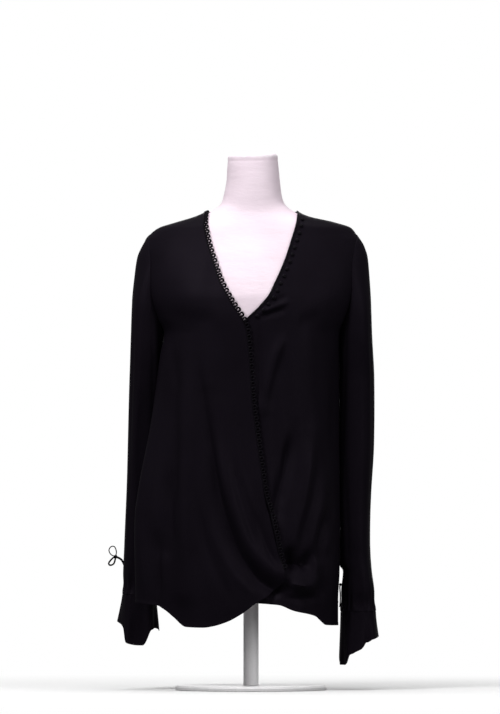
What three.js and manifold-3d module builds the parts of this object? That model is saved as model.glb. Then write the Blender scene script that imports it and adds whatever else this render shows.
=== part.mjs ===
// Wrap top with a loop trimmed edge, on a limbless dress form with a pole and a round base.
// Millimetres, +Z up, the front faces -Y. Right and left are the wearer's: the right side is -X.
// The origin is the middle of the underside of the base.

import * as THREE from 'three';
import { mergeVertices } from 'three/addons/utils/BufferGeometryUtils.js';
import Module from 'manifold-3d';

const wasm = await Module();
wasm.setup();

// Driving dimensions

const WALL = 1.3;             // thickness of the cloth
const SEAM = 0.4;             // gap between two sewn pieces
const LAYER = 3.4;            // height of the right front over the left front, at the bust
const LOW_LAYER = 5;          // and at the folds below
const SHOULDER_Z = 783;       // where the shoulder seam meets the armhole
const NECK_Z = 822;           // where the shoulder seam meets the neckline
const BACK_NECK_Z = 818;      // middle of the back neck edge
const UNDERARM_Z = 612;
const ARMHOLE_FRONT = 50;     // half depth of the armhole towards the front
const ARMHOLE_BACK = 52;      // and towards the back
const SIDE_HEM_Z = 150;       // hem at the side seams
const RIGHT_WRIST_Z = 165;
const LEFT_WRIST_Z = 136;
const GATHER_Z = 196;         // where the folds of the fronts are drawn together
const LEFT_END_Z = 160;       // bottom of the left front's covered edge
const DEEPER = 8;             // depth of the left front where the right front covers it

const TRIM_WIDTH = 3;         // sewn strip that carries the loops
const TRIM_THICK = 2;
const TRIM_HIGH = 0.7;        // top of the trim over the cloth's face
const TRIM_TOP_Z = 815;
const TRIM_END_Z = 208;
const LOOP_PITCH = 10;
const LOOP_RADIUS = 3.25;     // to the middle of the cord
const LOOP_CORD = 2.2;        // thickness of the cord
const LOOP_SWEEP = 1.72 * Math.PI;
const BINDING_WIDTH = 5;
const BINDING_THICK = 1.6;
const BINDING_HIGH = 0.5;
const BINDING_TOP_Z = 815;
const BINDING_END_Z = 630;
const BACK_BINDING_HIGH = 0.7;
const BACK_BINDING_LIFT = 0.8;  // over the back neck edge
const BACK_BINDING_EASE = 0.08; // part of the back neck left free at each shoulder
const BUTTON_COUNT = 15;
const BUTTON_PITCH = 14.6;
const BUTTON_DIAMETER = 6;
const BUTTON_HEIGHT = 3.4;
const BUTTON_INSET = 5;       // from the binding to the middle of a button
const BUTTON_TOP_Z = 812;
const BUTTON_END_Z = 642;
const TIE_DIAMETER = 2.4;

const FORM_BOTTOM_Z = 195;
const POLE_DIAMETER = 26;
const BASE_DIAMETER = 260;
const BASE_THICK = 8;
const TOUCH = 0.3;            // gap between pieces that touch

// Sections of the cloth round the body: half widths at the wearer's right and left,
// depths to the front and back, and how far the right front swells over the sleeve

const BODY = [
  { z: 836, right: 60, left: 62, front: 48, back: 51, swell: 0 },
  { z: 826, right: 72, left: 75, front: 50, back: 53, swell: 0 },
  { z: 815, right: 95, left: 99, front: 56, back: 60, swell: 0 },
  { z: 805, right: 127.5, left: 142, front: 61, back: 66, swell: 0 },
  { z: 795, right: 158.5, left: 172, front: 66, back: 71, swell: 0 },
  { z: 784, right: 173, left: 181, front: 71, back: 76, swell: 0 },
  { z: 774, right: 181, left: 187, front: 76, back: 80, swell: 0 },
  { z: 750, right: 188, left: 191, front: 88, back: 88, swell: 0 },
  { z: 722, right: 189, left: 190, front: 101, back: 94, swell: 0 },
  { z: 700, right: 187, left: 188, front: 110, back: 97, swell: 0 },
  { z: 671, right: 180, left: 181, front: 119, back: 98, swell: 0 },
  { z: 640, right: 165, left: 167, front: 122, back: 96, swell: 0 },
  { z: 612, right: 150, left: 154, front: 121, back: 93, swell: 3 },
  { z: 580, right: 150, left: 153, front: 119.5, back: 91, swell: 14 },
  { z: 533, right: 150, left: 152, front: 117, back: 88, swell: 22 },
  { z: 447, right: 151, left: 152, front: 116, back: 86, swell: 35 },
  { z: 342, right: 153, left: 153, front: 118, back: 90, swell: 53 },
  { z: 300, right: 154, left: 153, front: 119, back: 93, swell: 57 },
  { z: 205, right: 154, left: 152.5, front: 119, back: 95, swell: 58 },
  { z: 155, right: 154, left: 150, front: 118, back: 96, swell: 58 },
  { z: 100, right: 154, left: 150, front: 117, back: 97, swell: 58 },
];
const SQUARENESS = 2.25;      // 2 is an ellipse, more is squarer
const SWELL_Y = -58;          // where the swelling is fullest, and how far it reaches
const SWELL_REACH = 36;

// Sections of the dress form: middle, half width, and depths to the front and back

const FORM = [
  { z: 924, middle: 2.5, half: 37, front: 41, back: 43 },
  { z: 920, middle: 3, half: 41.5, front: 45, back: 47 },
  { z: 900, middle: 3.3, half: 44, front: 47, back: 49 },
  { z: 875, middle: 3.8, half: 46, front: 48, back: 50 },
  { z: 848, middle: 3, half: 50.5, front: 48, back: 51 },
  { z: 836, middle: 3, half: 55, front: 47.5, back: 50 },
  { z: 826, middle: 2.5, half: 66.5, front: 48, back: 49 },
  { z: 815, middle: 3, half: 86.5, front: 52, back: 53 },
  { z: 805, middle: 5, half: 120, front: 57, back: 58 },
  { z: 795, middle: 3.5, half: 148, front: 62, back: 61.5 },
  { z: 784, middle: 2, half: 161, front: 67, back: 69 },
  { z: 774, middle: 1, half: 165.5, front: 72, back: 75 },
  { z: 750, middle: 0, half: 167, front: 85, back: 85 },
  { z: 722, middle: 0, half: 161, front: 98, back: 91 },
  { z: 700, middle: 0, half: 156, front: 107, back: 94 },
  { z: 671, middle: 0, half: 149, front: 115, back: 94.5 },
  { z: 640, middle: 0, half: 142, front: 116, back: 91 },
  { z: 612, middle: 0, half: 137, front: 109, back: 86 },
  { z: 580, middle: 0, half: 132, front: 99, back: 81 },
  { z: 533, middle: 0, half: 124, front: 89, back: 74 },
  { z: 480, middle: 0, half: 117, front: 84, back: 70 },
  { z: 447, middle: 0, half: 117, front: 85, back: 72 },
  { z: 400, middle: 0, half: 124, front: 90, back: 79 },
  { z: 342, middle: 0, half: 136, front: 96, back: 85 },
  { z: 300, middle: 0, half: 140, front: 98, back: 86 },
  { z: 250, middle: 0, half: 138, front: 97, back: 86 },
  { z: 195, middle: 0, half: 132, front: 92, back: 82 },
];

// Edge of the right front, from the neck to the gather

const RIGHT_EDGE = [
  { z: 822, x: -77.5 },
  { z: 817, x: -79.5 },
  { z: 805, x: -80 },
  { z: 784, x: -77 },
  { z: 743, x: -66 },
  { z: 702, x: -52 },
  { z: 660, x: -28.5 },
  { z: 640, x: -15 },
  { z: 619, x: -6.5 },
  { z: 564, x: -1 },
  { z: 502, x: 3.5 },
  { z: 413, x: 14 },
  { z: 344, x: 24 },
  { z: 301, x: 35 },
  { z: 244, x: 47 },
  { z: 196, x: 56 },
];

// Edge of the left front, from the neck to the point of the V and on under the right front

const LEFT_EDGE = [
  { z: 822, x: 80 },
  { z: 815, x: 79 },
  { z: 805, x: 77.5 },
  { z: 784, x: 72 },
  { z: 743, x: 58.5 },
  { z: 722, x: 50 },
  { z: 702, x: 41 },
  { z: 681, x: 31 },
  { z: 660, x: 13.8 },
  { z: 639, x: -8 },
  { z: 612, x: -34 },
  { z: 560, x: -60 },
  { z: 480, x: -84 },
  { z: 380, x: -96 },
  { z: 160, x: -100 },
];

// Height of each hem, across the front

const RIGHT_HEM = [
  { x: -200, z: 152 },
  { x: -160, z: 146 },
  { x: -146, z: 139 },
  { x: -132, z: 127.5 },
  { x: -110, z: 110.3 },
  { x: -81, z: 109.3 },
  { x: -64, z: 111.8 },
  { x: -40, z: 119.5 },
  { x: -15, z: 133.5 },
  { x: 8.6, z: 151 },
  { x: 30, z: 164 },
  { x: 43, z: 175 },
  { x: 56, z: 196 },
];
const LEFT_HEM = [
  { x: -110, z: 160 },
  { x: 8, z: 151 },
  { x: 47, z: 148 },
  { x: 73, z: 138 },
  { x: 110, z: 128.8 },
  { x: 120, z: 119.8 },
  { x: 129, z: 113.2 },
  { x: 152, z: 111.6 },
];

// Largest folds of the fronts: start, pull and end of each line in front view,
// height (a valley is negative) and half width

const FRONT_FOLDS = [
  { x0: -78, z0: 511, x1: -55, z1: 215, x2: 43, z2: 173, height: -10, width: 12 },
  { x0: -56, z0: 490, x1: -34, z1: 228, x2: 52, z2: 200, height: 7, width: 13 },
  { x0: -112, z0: 600, x1: -100, z1: 400, x2: -112, z2: 170, height: 5, width: 18 },
  { x0: -134, z0: 400, x1: -142, z1: 320, x2: -146, z2: 243, height: -5, width: 14 },
  { x0: -160, z0: 285, x1: -166, z1: 220, x2: -164, z2: 150, height: -6, width: 12 },
  { x0: 62, z0: 612, x1: 32, z1: 576, x2: 22, z2: 487, height: 4, width: 14 },
  { x0: 74, z0: 450, x1: 58, z1: 372, x2: 47, z2: 308, height: -8, width: 13 },
  { x0: 102, z0: 440, x1: 96, z1: 350, x2: 68, z2: 250, height: 6, width: 15 },
  { x0: 124, z0: 345, x1: 98, z1: 272, x2: 112, z2: 196, height: 5, width: 13 },
  { x0: 131, z0: 308, x1: 118, z1: 276, x2: 116, z2: 235, height: -5, width: 11 },
];

// The small draped puff of the left front beside the gather

const PUFF = { x: 88, z: 182, halfWidth: 24, halfHeight: 17, height: 9 };

// Soft folds of the back, from above to below, in back view

const BACK_FOLDS = [
  { x0: -78, z0: 640, x1: -92, z1: 420, x2: -86, z2: 140, height: 5, width: 22 },
  { x0: -34, z0: 560, x1: -30, z1: 340, x2: -40, z2: 130, height: -4, width: 18 },
  { x0: 12, z0: 600, x1: 18, z1: 380, x2: 10, z2: 135, height: 5, width: 20 },
  { x0: 58, z0: 520, x1: 50, z1: 330, x2: 56, z2: 130, height: -4, width: 18 },
  { x0: 96, z0: 630, x1: 104, z1: 420, x2: 98, z2: 140, height: 4, width: 20 },
];

// Sleeves: reach of the outer and inner side from the middle of the body,
// and the middle and half depth of the tube

const RIGHT_SLEEVE = [
  { z: 783, outer: 174.5, inner: 150, middle: 0, half: 52 },
  { z: 764, outer: 186.5, inner: 150, middle: 0, half: 52 },
  { z: 743, outer: 195.3, inner: 150, middle: 0, half: 52 },
  { z: 712, outer: 200, inner: 151, middle: 0, half: 52 },
  { z: 671, outer: 204.3, inner: 153, middle: 0, half: 52 },
  { z: 612, outer: 206.6, inner: 154, middle: 6, half: 52 },
  { z: 533, outer: 208.8, inner: 155, middle: 20, half: 52 },
  { z: 447, outer: 210.8, inner: 158, middle: 36, half: 51 },
  { z: 361, outer: 213, inner: 160, middle: 47, half: 50 },
  { z: 258, outer: 217.3, inner: 162, middle: 51, half: 49 },
  { z: 165, outer: 221, inner: 164, middle: 51, half: 45 },
];
const LEFT_SLEEVE = [
  { z: 783, outer: 182, inner: 153, middle: 0, half: 52 },
  { z: 764, outer: 194, inner: 154, middle: 0, half: 52 },
  { z: 743, outer: 200.3, inner: 154, middle: 0, half: 52 },
  { z: 712, outer: 203, inner: 155, middle: 0, half: 52 },
  { z: 671, outer: 205.5, inner: 156, middle: 0, half: 52 },
  { z: 612, outer: 207.3, inner: 156.5, middle: 6, half: 52 },
  { z: 533, outer: 210.5, inner: 152, middle: 24, half: 52 },
  { z: 426, outer: 209.3, inner: 151, middle: 31, half: 51 },
  { z: 340, outer: 205, inner: 151.5, middle: 33, half: 50 },
  { z: 258, outer: 203, inner: 152.5, middle: 33, half: 49 },
  { z: 230, outer: 204, inner: 154, middle: 33, half: 48 },
  { z: 205, outer: 206.3, inner: 160.5, middle: 33, half: 48 },
  { z: 172, outer: 211.3, inner: 156.5, middle: 33, half: 48 },
  { z: 136, outer: 214.5, inner: 154.5, middle: 33, half: 46 },
];

// Cuff hems round the tube: turn 0 is the outer side, 0.25 the front, 0.5 the inner side

const RIGHT_CUFF = [
  { turn: 0, z: 118, flare: 8 },
  { turn: 0.1, z: 108, flare: 6 },
  { turn: 0.17, z: 81, flare: 9 },
  { turn: 0.26, z: 76.5, flare: 3 },
  { turn: 0.33, z: 103, flare: 8 },
  { turn: 0.42, z: 106, flare: 2 },
  { turn: 0.5, z: 101, flare: 8 },
  { turn: 0.62, z: 112, flare: 3 },
  { turn: 0.75, z: 96, flare: 9 },
  { turn: 0.88, z: 108, flare: 4 },
  { turn: 1, z: 118, flare: 8 },
];
const LEFT_CUFF = [
  { turn: 0, z: 88, flare: 4 },
  { turn: 0.1, z: 84, flare: 7 },
  { turn: 0.2, z: 74, flare: 3 },
  { turn: 0.3, z: 59, flare: 9 },
  { turn: 0.4, z: 43.5, flare: 3 },
  { turn: 0.47, z: 45.5, flare: 4 },
  { turn: 0.56, z: 76, flare: 2 },
  { turn: 0.68, z: 88, flare: 8 },
  { turn: 0.8, z: 80, flare: 3 },
  { turn: 0.9, z: 90, flare: 8 },
  { turn: 1, z: 88, flare: 4 },
];

// Grids: pieces across or round, and pieces along

const GRID = {
  rightFront: { across: 17, along: 32 },
  leftFront: { across: 13, along: 28 },
  back: { across: 26, along: 24 },
  sleeve: { across: 16, along: 16 },
  cuff: { across: 24, along: 4 },
  form: { across: 30 },
};

// Materials

function cloth(color, roughness) {
  return new THREE.MeshStandardMaterial({ color, roughness, metalness: 0 });
}

const crepe = cloth(0x131015, 0.55);
const satin = cloth(0x0d0b10, 0.4);
const jersey = cloth(0xf3e9f1, 0.85);
const enamel = cloth(0xf1eff0, 0.4);

// Small helpers

const mix = (a, b, t) => a + (b - a) * t;
const clamp = (t) => Math.min(1, Math.max(0, t));

function smooth(from, to, value) {
  const t = clamp((value - from) / (to - from));
  return t * t * (3 - 2 * t);
}

// A smooth curve through one column of a table, without overshoot
function column(rows, key, name) {
  const sorted = [...rows].sort((a, b) => a[key] - b[key]);
  const u = sorted.map((row) => row[key]);
  const v = sorted.map((row) => row[name]);
  const last = u.length - 1;
  const rise = u.slice(1).map((next, i) => (v[i + 1] - v[i]) / (next - u[i]));
  const slope = u.map((_, i) => {
    if (i === 0) return rise[0];
    if (i === last) return rise[last - 1];
    if (rise[i - 1] * rise[i] <= 0) return 0;
    return 2 * rise[i - 1] * rise[i] / (rise[i - 1] + rise[i]);
  });
  return (at) => {
    const place = Math.min(u[last], Math.max(u[0], at));
    let i = 0;
    while (i < last - 1 && place > u[i + 1]) i += 1;
    const width = u[i + 1] - u[i];
    const t = (place - u[i]) / width;
    const bend = width * (t * (1 - t) * (1 - t) * slope[i] - t * t * (1 - t) * slope[i + 1]);
    return v[i] * (1 + 2 * t) * (1 - t) * (1 - t) + v[i + 1] * t * t * (3 - 2 * t) + bend;
  };
}

function table(rows, key, names) {
  return Object.fromEntries(names.map((name) => [name, column(rows, key, name)]));
}

// The cloth's outer surface round the body. The angle is 0 at the wearer's right side,
// a quarter turn at the middle front, a half turn at the left side and on round the back

const body = table(BODY, 'z', ['right', 'left', 'front', 'back', 'swell']);

function sectionPoint(angle, right, left, front, back) {
  const c = Math.cos(angle);
  const s = Math.sin(angle);
  const across = Math.abs(c) / (c > 0 ? right : left);
  const deep = Math.abs(s) / (s > 0 ? front : back);
  const radius = (across ** SQUARENESS + deep ** SQUARENESS) ** (-1 / SQUARENESS);
  return [-c * radius, -s * radius];
}

// The lines of the folds, each as a short run of points
function foldLines(folds) {
  const steps = 10;
  return folds.map((fold) => {
    const points = [];
    for (let i = 0; i <= steps; i += 1) {
      const t = i / steps;
      const a = (1 - t) * (1 - t);
      const b = 2 * t * (1 - t);
      const c = t * t;
      points.push([a * fold.x0 + b * fold.x1 + c * fold.x2, a * fold.z0 + b * fold.z1 + c * fold.z2]);
    }
    return { ...fold, points };
  });
}

const frontLines = foldLines(FRONT_FOLDS);
const backLines = foldLines(BACK_FOLDS);

function foldHeight(lines, x, z) {
  let sum = 0;
  for (const line of lines) {
    let best = Infinity;
    let place = 0;
    for (let i = 0; i + 1 < line.points.length; i += 1) {
      const [ax, az] = line.points[i];
      const [bx, bz] = line.points[i + 1];
      const dx = bx - ax;
      const dz = bz - az;
      const t = clamp(((x - ax) * dx + (z - az) * dz) / (dx * dx + dz * dz));
      const away = Math.hypot(x - ax - t * dx, z - az - t * dz);
      if (away < best) {
        best = away;
        place = (i + t) / (line.points.length - 1);
      }
    }
    const ends = 0.15 + 0.85 * smooth(0, 0.35, place);
    sum += line.height * ends * Math.exp(-((best / line.width) ** 2));
  }
  return sum;
}

function bodyPoint(angle, z) {
  let [x, y] = sectionPoint(angle, body.right(z), body.left(z), body.front(z), body.back(z));
  const low = smooth(660, 600, z);
  if (y < 0 && low > 0) {
    const fullest = Math.exp(-(((y - SWELL_Y) / SWELL_REACH) ** 2));
    x -= body.swell(z) * fullest * smooth(0, 110, -x);
  }
  const puffAcross = (x - PUFF.x) / PUFF.halfWidth;
  const puffUp = (z - PUFF.z) / PUFF.halfHeight;
  const puff = PUFF.height * Math.exp(-(puffAcross ** 4) - puffUp ** 4);
  const relief = y < 0 ? foldHeight(frontLines, x, z) + puff : foldHeight(backLines, x, z);
  const facing = smooth(0, 60, Math.abs(y));
  const far = Math.hypot(x, y);
  const out = relief * facing;
  return new THREE.Vector3(x + x / far * out, y + y / far * out, z);
}

// Direction straight out of a surface that is given by two values
function outward(surface, u, v, du, dv) {
  const along = surface(u + du, v).sub(surface(u - du, v));
  const up = surface(u, v + dv).sub(surface(u, v - dv));
  return along.cross(up).normalize();
}

const bodyNormal = (angle, z) => outward(bodyPoint, angle, z, 0.01, 1.5);

const rightEdge = column(RIGHT_EDGE, 'z', 'x');

// Front angle at a given place across the body
function angleAt(x, z) {
  const wide = x < 0 ? body.right(z) : body.left(z);
  const share = Math.min(1, Math.abs(x) / wide);
  const y = body.front(z) * (1 - share ** SQUARENESS) ** (1 / SQUARENESS);
  return Math.atan2(y, -x);
}

// Right front's rise over the left front, none at its own seams
function rise(angle, z) {
  const height = mix(LAYER, LOW_LAYER, smooth(600, 500, z));
  return height * smooth(0.3, 0.9, angle) * smooth(815, 740, z);
}

function rightLayer(angle, z) {
  return bodyPoint(angle, z).addScaledVector(bodyNormal(angle, z), rise(angle, z));
}

// The left front lies deeper where the right front covers it

function leftLayer(angle, z) {
  const p = bodyPoint(angle, z);
  const covered = smooth(-2, -26, p.x - rightEdge(z)) * smooth(640, 560, z);
  return p.addScaledVector(bodyNormal(angle, z), -DEEPER * covered);
}

const leftNormal = (angle, z) => outward(leftLayer, angle, z, 0.01, 1.5);

const rightNormal = (angle, z) => outward(rightLayer, angle, z, 0.01, 1.5);

// The armhole is an ellipse in side view. A turn runs from the shoulder down the front and up the back
function armhole(side, turn, shrink) {
  const high = (SHOULDER_Z - UNDERARM_Z) / 2 - shrink;
  const z = (SHOULDER_Z + UNDERARM_Z) / 2 + high * Math.cos(2 * Math.PI * turn);
  const s = Math.sin(2 * Math.PI * turn);
  const y = s > 0 ? -(ARMHOLE_FRONT - shrink) * s : -(ARMHOLE_BACK - shrink) * s;
  const deep = y < 0 ? body.front(z) : body.back(z);
  const wide = side < 0 ? body.right(z) : body.left(z);
  const x = side * wide * (1 - (Math.abs(y) / deep) ** SQUARENESS) ** (1 / SQUARENESS);
  return new THREE.Vector3(x, y, z);
}

// Closed meshes from grids of points

function meshFromFaces(points, faces) {
  const geometry = new THREE.BufferGeometry();
  const flat = points.flatMap((p) => [p.x, p.y, p.z]);
  geometry.setAttribute('position', new THREE.Float32BufferAttribute(flat, 3));
  geometry.setIndex(faces.flat());
  return geometry;
}

// A wall from two grids of points, outer and inner, open or joined round
function wall(outer, inner, joined) {
  const rows = outer.length;
  const across = outer[0].length;
  const count = rows * across;
  const points = [...outer.flat(), ...inner.flat()];
  const at = (i, j) => i * across + (j % across);
  const faces = [];
  const spans = joined ? across : across - 1;
  const quad = (a, b, c, d) => faces.push([a, b, c], [a, c, d]);
  for (let i = 0; i + 1 < rows; i += 1) {
    for (let j = 0; j < spans; j += 1) {
      quad(at(i, j), at(i + 1, j), at(i + 1, j + 1), at(i, j + 1));
      quad(count + at(i, j), count + at(i, j + 1), count + at(i + 1, j + 1), count + at(i + 1, j));
    }
  }
  for (let j = 0; j < spans; j += 1) {
    quad(at(0, j), at(0, j + 1), count + at(0, j + 1), count + at(0, j));
    quad(at(rows - 1, j), count + at(rows - 1, j), count + at(rows - 1, j + 1), at(rows - 1, j + 1));
  }
  if (!joined) {
    for (let i = 0; i + 1 < rows; i += 1) {
      quad(at(i, 0), count + at(i, 0), count + at(i + 1, 0), at(i + 1, 0));
      const j = across - 1;
      quad(at(i, j), at(i + 1, j), count + at(i + 1, j), count + at(i, j));
    }
  }
  return faceOut(meshFromFaces(points, faces));
}

// Turned the right way out where a grid runs the other way
function faceOut(geometry) {
  const index = geometry.index.array;
  const position = geometry.attributes.position;
  const [a, b, c] = [new THREE.Vector3(), new THREE.Vector3(), new THREE.Vector3()];
  let volume = 0;
  for (let i = 0; i < index.length; i += 3) {
    a.fromBufferAttribute(position, index[i]);
    b.fromBufferAttribute(position, index[i + 1]);
    c.fromBufferAttribute(position, index[i + 2]);
    volume += a.dot(b.cross(c));
  }
  if (volume < 0) {
    for (let i = 0; i < index.length; i += 3) [index[i], index[i + 1]] = [index[i + 1], index[i]];
  }
  return geometry;
}

// A panel on a surface: the map gives an angle and a height for each place of its grid
function panel(surface, normal, map, grid, from = 0, thick = WALL) {
  const outer = [];
  const inner = [];
  for (let i = 0; i <= grid.along; i += 1) {
    outer.push([]);
    inner.push([]);
    for (let j = 0; j <= grid.across; j += 1) {
      const { angle, z } = map(j / grid.across, i / grid.along);
      const n = normal(angle, z);
      const p = surface(angle, z);
      outer[i].push(p.clone().addScaledVector(n, from));
      inner[i].push(p.clone().addScaledVector(n, from - thick));
    }
  }
  return wall(outer, inner, false);
}

// Joining

function toSolid(geometry) {
  const bare = geometry.clone();
  bare.deleteAttribute('normal');
  bare.deleteAttribute('uv');
  const merged = mergeVertices(bare, 1e-4);
  return new wasm.Manifold(new wasm.Mesh({
    numProp: 3,
    vertProperties: new Float32Array(merged.attributes.position.array),
    triVerts: new Uint32Array(merged.index.array),
  }));
}

function fromSolid(solid) {
  const mesh = solid.getMesh();
  const geometry = new THREE.BufferGeometry();
  geometry.setAttribute('position', new THREE.BufferAttribute(new Float32Array(mesh.vertProperties), 3));
  geometry.setIndex(new THREE.BufferAttribute(new Uint32Array(mesh.triVerts), 1));
  return geometry;
}

function join(geometries) {
  let whole = toSolid(geometries[0]);
  for (const next of geometries.slice(1)) whole = whole.add(toSolid(next));
  return fromSolid(whole);
}

const top = new THREE.Group();

function add(name, geometry, material) {
  geometry.computeVertexNormals();
  const mesh = new THREE.Mesh(geometry, material.clone());
  mesh.name = name;
  top.add(mesh);
}

// Rows are closer together near the shoulder
const crowd = (t) => t * t * (1.5 - t / 2);

// How far down the rows the armhole ends
const ARM_SHARE = 0.5;
const SIDE_REACH = 150;       // from the middle to a side seam
const NECK_REACH = 90;        // and to the neckline at a shoulder seam

// Side edge of a panel: down the armhole, then down the side seam
function sideEdge(side, front, t) {
  const gap = SEAM / 2;
  const inwards = (side < 0) === front ? 1 : -1;
  const seam = front ? 0 : 2 * Math.PI;
  if (t < ARM_SHARE) {
    const turn = 0.5 * t / ARM_SHARE;
    const p = armhole(side, front ? turn : 1 - turn, -gap);
    const angle = Math.atan2(-p.y, -p.x);
    const atShoulder = turn < 0.02 ? 1 : 0.2;
    const nudge = inwards * gap / Math.hypot(p.x, p.y) * atShoulder;
    return { angle: (front ? angle : angle + 2 * Math.PI) + nudge, z: p.z };
  }
  const drop = (crowd(t) - crowd(ARM_SHARE)) / (1 - crowd(ARM_SHARE));
  const z = mix(UNDERARM_Z - gap, SIDE_HEM_Z, drop);
  return { angle: (side < 0 ? seam : Math.PI) + inwards * gap / SIDE_REACH, z };
}

// A front panel, between its free edge and its side
function frontMap(side, edgeX, hemZ, inset, endZ) {
  const ease = SEAM / 2 / NECK_REACH;
  return (s, t) => {
    const down = crowd(t);
    const edgeZ = mix(NECK_Z, endZ, down);
    const slant = Math.hypot(1, (edgeX(edgeZ + 2) - edgeX(edgeZ - 2)) / 4);
    const away = inset * slant * smooth(NECK_Z, 814, edgeZ);
    const free = angleAt(edgeX(edgeZ) + side * away, edgeZ);
    const outer = sideEdge(side, true, t);
    const seam = ease * (1 + 4 * t);
    const middle = side < 0 ? Math.max(seam, free) : Math.min(Math.PI - seam, free);
    const angle = mix(t === 0 ? (side < 0 ? ease : Math.PI - ease) : middle, outer.angle, s);
    const plain = mix(edgeZ, outer.z, s);
    const lowZ = mix(endZ, SIDE_HEM_Z, s);
    const hem = hemZ(bodyPoint(angle, 140).x);
    return { angle, z: plain + (hem - lowZ) * down ** 3 };
  };
}

// Right and left fronts

const leftEdge = column(LEFT_EDGE, 'z', 'x');
const rightHem = column(RIGHT_HEM, 'x', 'z');
const leftHem = column(LEFT_HEM, 'x', 'z');
const rightMap = frontMap(-1, rightEdge, rightHem, TRIM_WIDTH + SEAM, GATHER_Z);
const leftMap = frontMap(1, leftEdge, leftHem, BINDING_WIDTH + 3 * SEAM, LEFT_END_Z);

const flip = (map) => (s, t) => map(1 - s, t);

add('right_front', panel(rightLayer, rightNormal, rightMap, GRID.rightFront), crepe);
add('left_front', panel(leftLayer, leftNormal, flip(leftMap), GRID.leftFront), crepe);

// Back, with the shoulder seams and the neck along its top

const NECK_SHARE = 0.25;      // part of the top that each shoulder seam takes

function backTop(s) {
  if (s < NECK_SHARE) return { angle: Math.PI, z: mix(SHOULDER_Z, NECK_Z, s / NECK_SHARE) };
  if (s > 1 - NECK_SHARE) return { angle: 2 * Math.PI, z: mix(SHOULDER_Z, NECK_Z, (1 - s) / NECK_SHARE) };
  const round = (s - NECK_SHARE) / (1 - 2 * NECK_SHARE);
  const z = mix(NECK_Z, BACK_NECK_Z, Math.sin(Math.PI * round) ** 0.5);
  return { angle: Math.PI * (1 + round), z };
}

function backMap(s, t) {
  const gap = SEAM / 2 / NECK_REACH;
  const left = sideEdge(1, false, t);
  const right = sideEdge(-1, false, t);
  const rim = backTop(s);
  const fade = (1 - smooth(0, 0.62, t)) ** 1.5;
  const plain = mix(left.angle, right.angle, s);
  const shift = rim.angle - Math.PI * (1 + s);
  const angle = Math.min(2 * Math.PI - gap, Math.max(Math.PI + gap, plain + shift * fade));
  return { angle, z: left.z + (rim.z - SHOULDER_Z) * fade };
}

add('back', panel(bodyPoint, bodyNormal, backMap, GRID.back), crepe);

// Sleeves

function sleeve(rows, side, wristZ) {
  const at = table(rows, 'z', ['outer', 'inner', 'middle', 'half']);
  const tube = (turn, z) => {
    const c = Math.cos(2 * Math.PI * turn);
    const s = Math.sin(2 * Math.PI * turn);
    const middle = (at.outer(z) + at.inner(z)) / 2;
    const half = (at.outer(z) - at.inner(z)) / 2;
    return new THREE.Vector3(side * (middle + half * c), at.middle(z) - at.half(z) * s, z);
  };
  const surface = (turn, t) => {
    const start = armhole(side, turn, SEAM / 2 + 0.2);
    start.x += side * (0.6 + 0.5 * (1 - Math.cos(2 * Math.PI * turn)));
    const z = mix(start.z, wristZ, crowd(t));
    const hold = (1 - smooth(0, 0.42, t)) ** 1.4;
    const shift = start.clone().sub(tube(turn, start.z));
    return tube(turn, z).addScaledVector(shift, hold);
  };
  return { tube, surface };
}

const rightSleeve = sleeve(RIGHT_SLEEVE, -1, RIGHT_WRIST_Z);
const leftSleeve = sleeve(LEFT_SLEEVE, 1, LEFT_WRIST_Z);

function sleeveShell(shape, side, grid) {
  const outer = [];
  const inner = [];
  for (let i = 0; i <= grid.along; i += 1) {
    outer.push([]);
    inner.push([]);
    for (let k = 0; k < grid.across; k += 1) {
      const j = side < 0 ? grid.across - k : k;
      const turn = j / grid.across;
      const t = i / grid.along;
      const step = 0.004;
      const p = shape.surface(turn, t);
      const round = shape.surface(turn + step, t).sub(shape.surface(turn - step, t));
      const low = Math.max(0, t - step);
      const down = shape.surface(turn, Math.min(1, t + step)).sub(shape.surface(turn, low));
      const n = down.cross(round).normalize().multiplyScalar(side);
      const middle = new THREE.Vector3(p.x, 0, (SHOULDER_Z + UNDERARM_Z) / 2).sub(p).normalize();
      const away = n.multiplyScalar(-1).lerp(middle, i === 0 ? 1 : 0).normalize();
      outer[i].push(p);
      inner[i].push(p.clone().addScaledVector(away, WALL));
    }
  }
  return wall(outer, inner, true);
}

add('right_sleeve', sleeveShell(rightSleeve, -1, GRID.sleeve), crepe);
add('left_sleeve', sleeveShell(leftSleeve, 1, GRID.sleeve), crepe);

// Cuffs: flared bands with a pointed hem

function cuffShell(shape, rows, side, wristZ, grid) {
  const at = table(rows, 'turn', ['z', 'flare']);
  const ring = (turn, down, out) => {
    const p = shape.tube(turn, wristZ);
    const middleX = (shape.tube(0, wristZ).x + shape.tube(0.5, wristZ).x) / 2;
    const middleY = (shape.tube(0.25, wristZ).y + shape.tube(0.75, wristZ).y) / 2;
    const radial = new THREE.Vector3(p.x - middleX, p.y - middleY, 0).normalize();
    const z = mix(wristZ - SEAM, at.z(turn), down);
    return new THREE.Vector3(p.x, p.y, z).addScaledVector(radial, at.flare(turn) * down - out);
  };
  const outer = [];
  const inner = [];
  for (let i = 0; i <= grid.along; i += 1) {
    outer.push([]);
    inner.push([]);
    for (let k = 0; k < grid.across; k += 1) {
      const j = side < 0 ? grid.across - k : k;
      const turn = (j % grid.across) / grid.across;
      outer[i].push(ring(turn, i / grid.along, 0));
      inner[i].push(ring(turn, i / grid.along, WALL));
    }
  }
  return wall(outer, inner, true);
}

add('right_cuff', cuffShell(rightSleeve, RIGHT_CUFF, -1, RIGHT_WRIST_Z, GRID.cuff), crepe);
add('left_cuff', cuffShell(leftSleeve, LEFT_CUFF, 1, LEFT_WRIST_Z, GRID.cuff), crepe);

// A frame that follows an edge: along it, out of the cloth, and away from the panel

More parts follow.
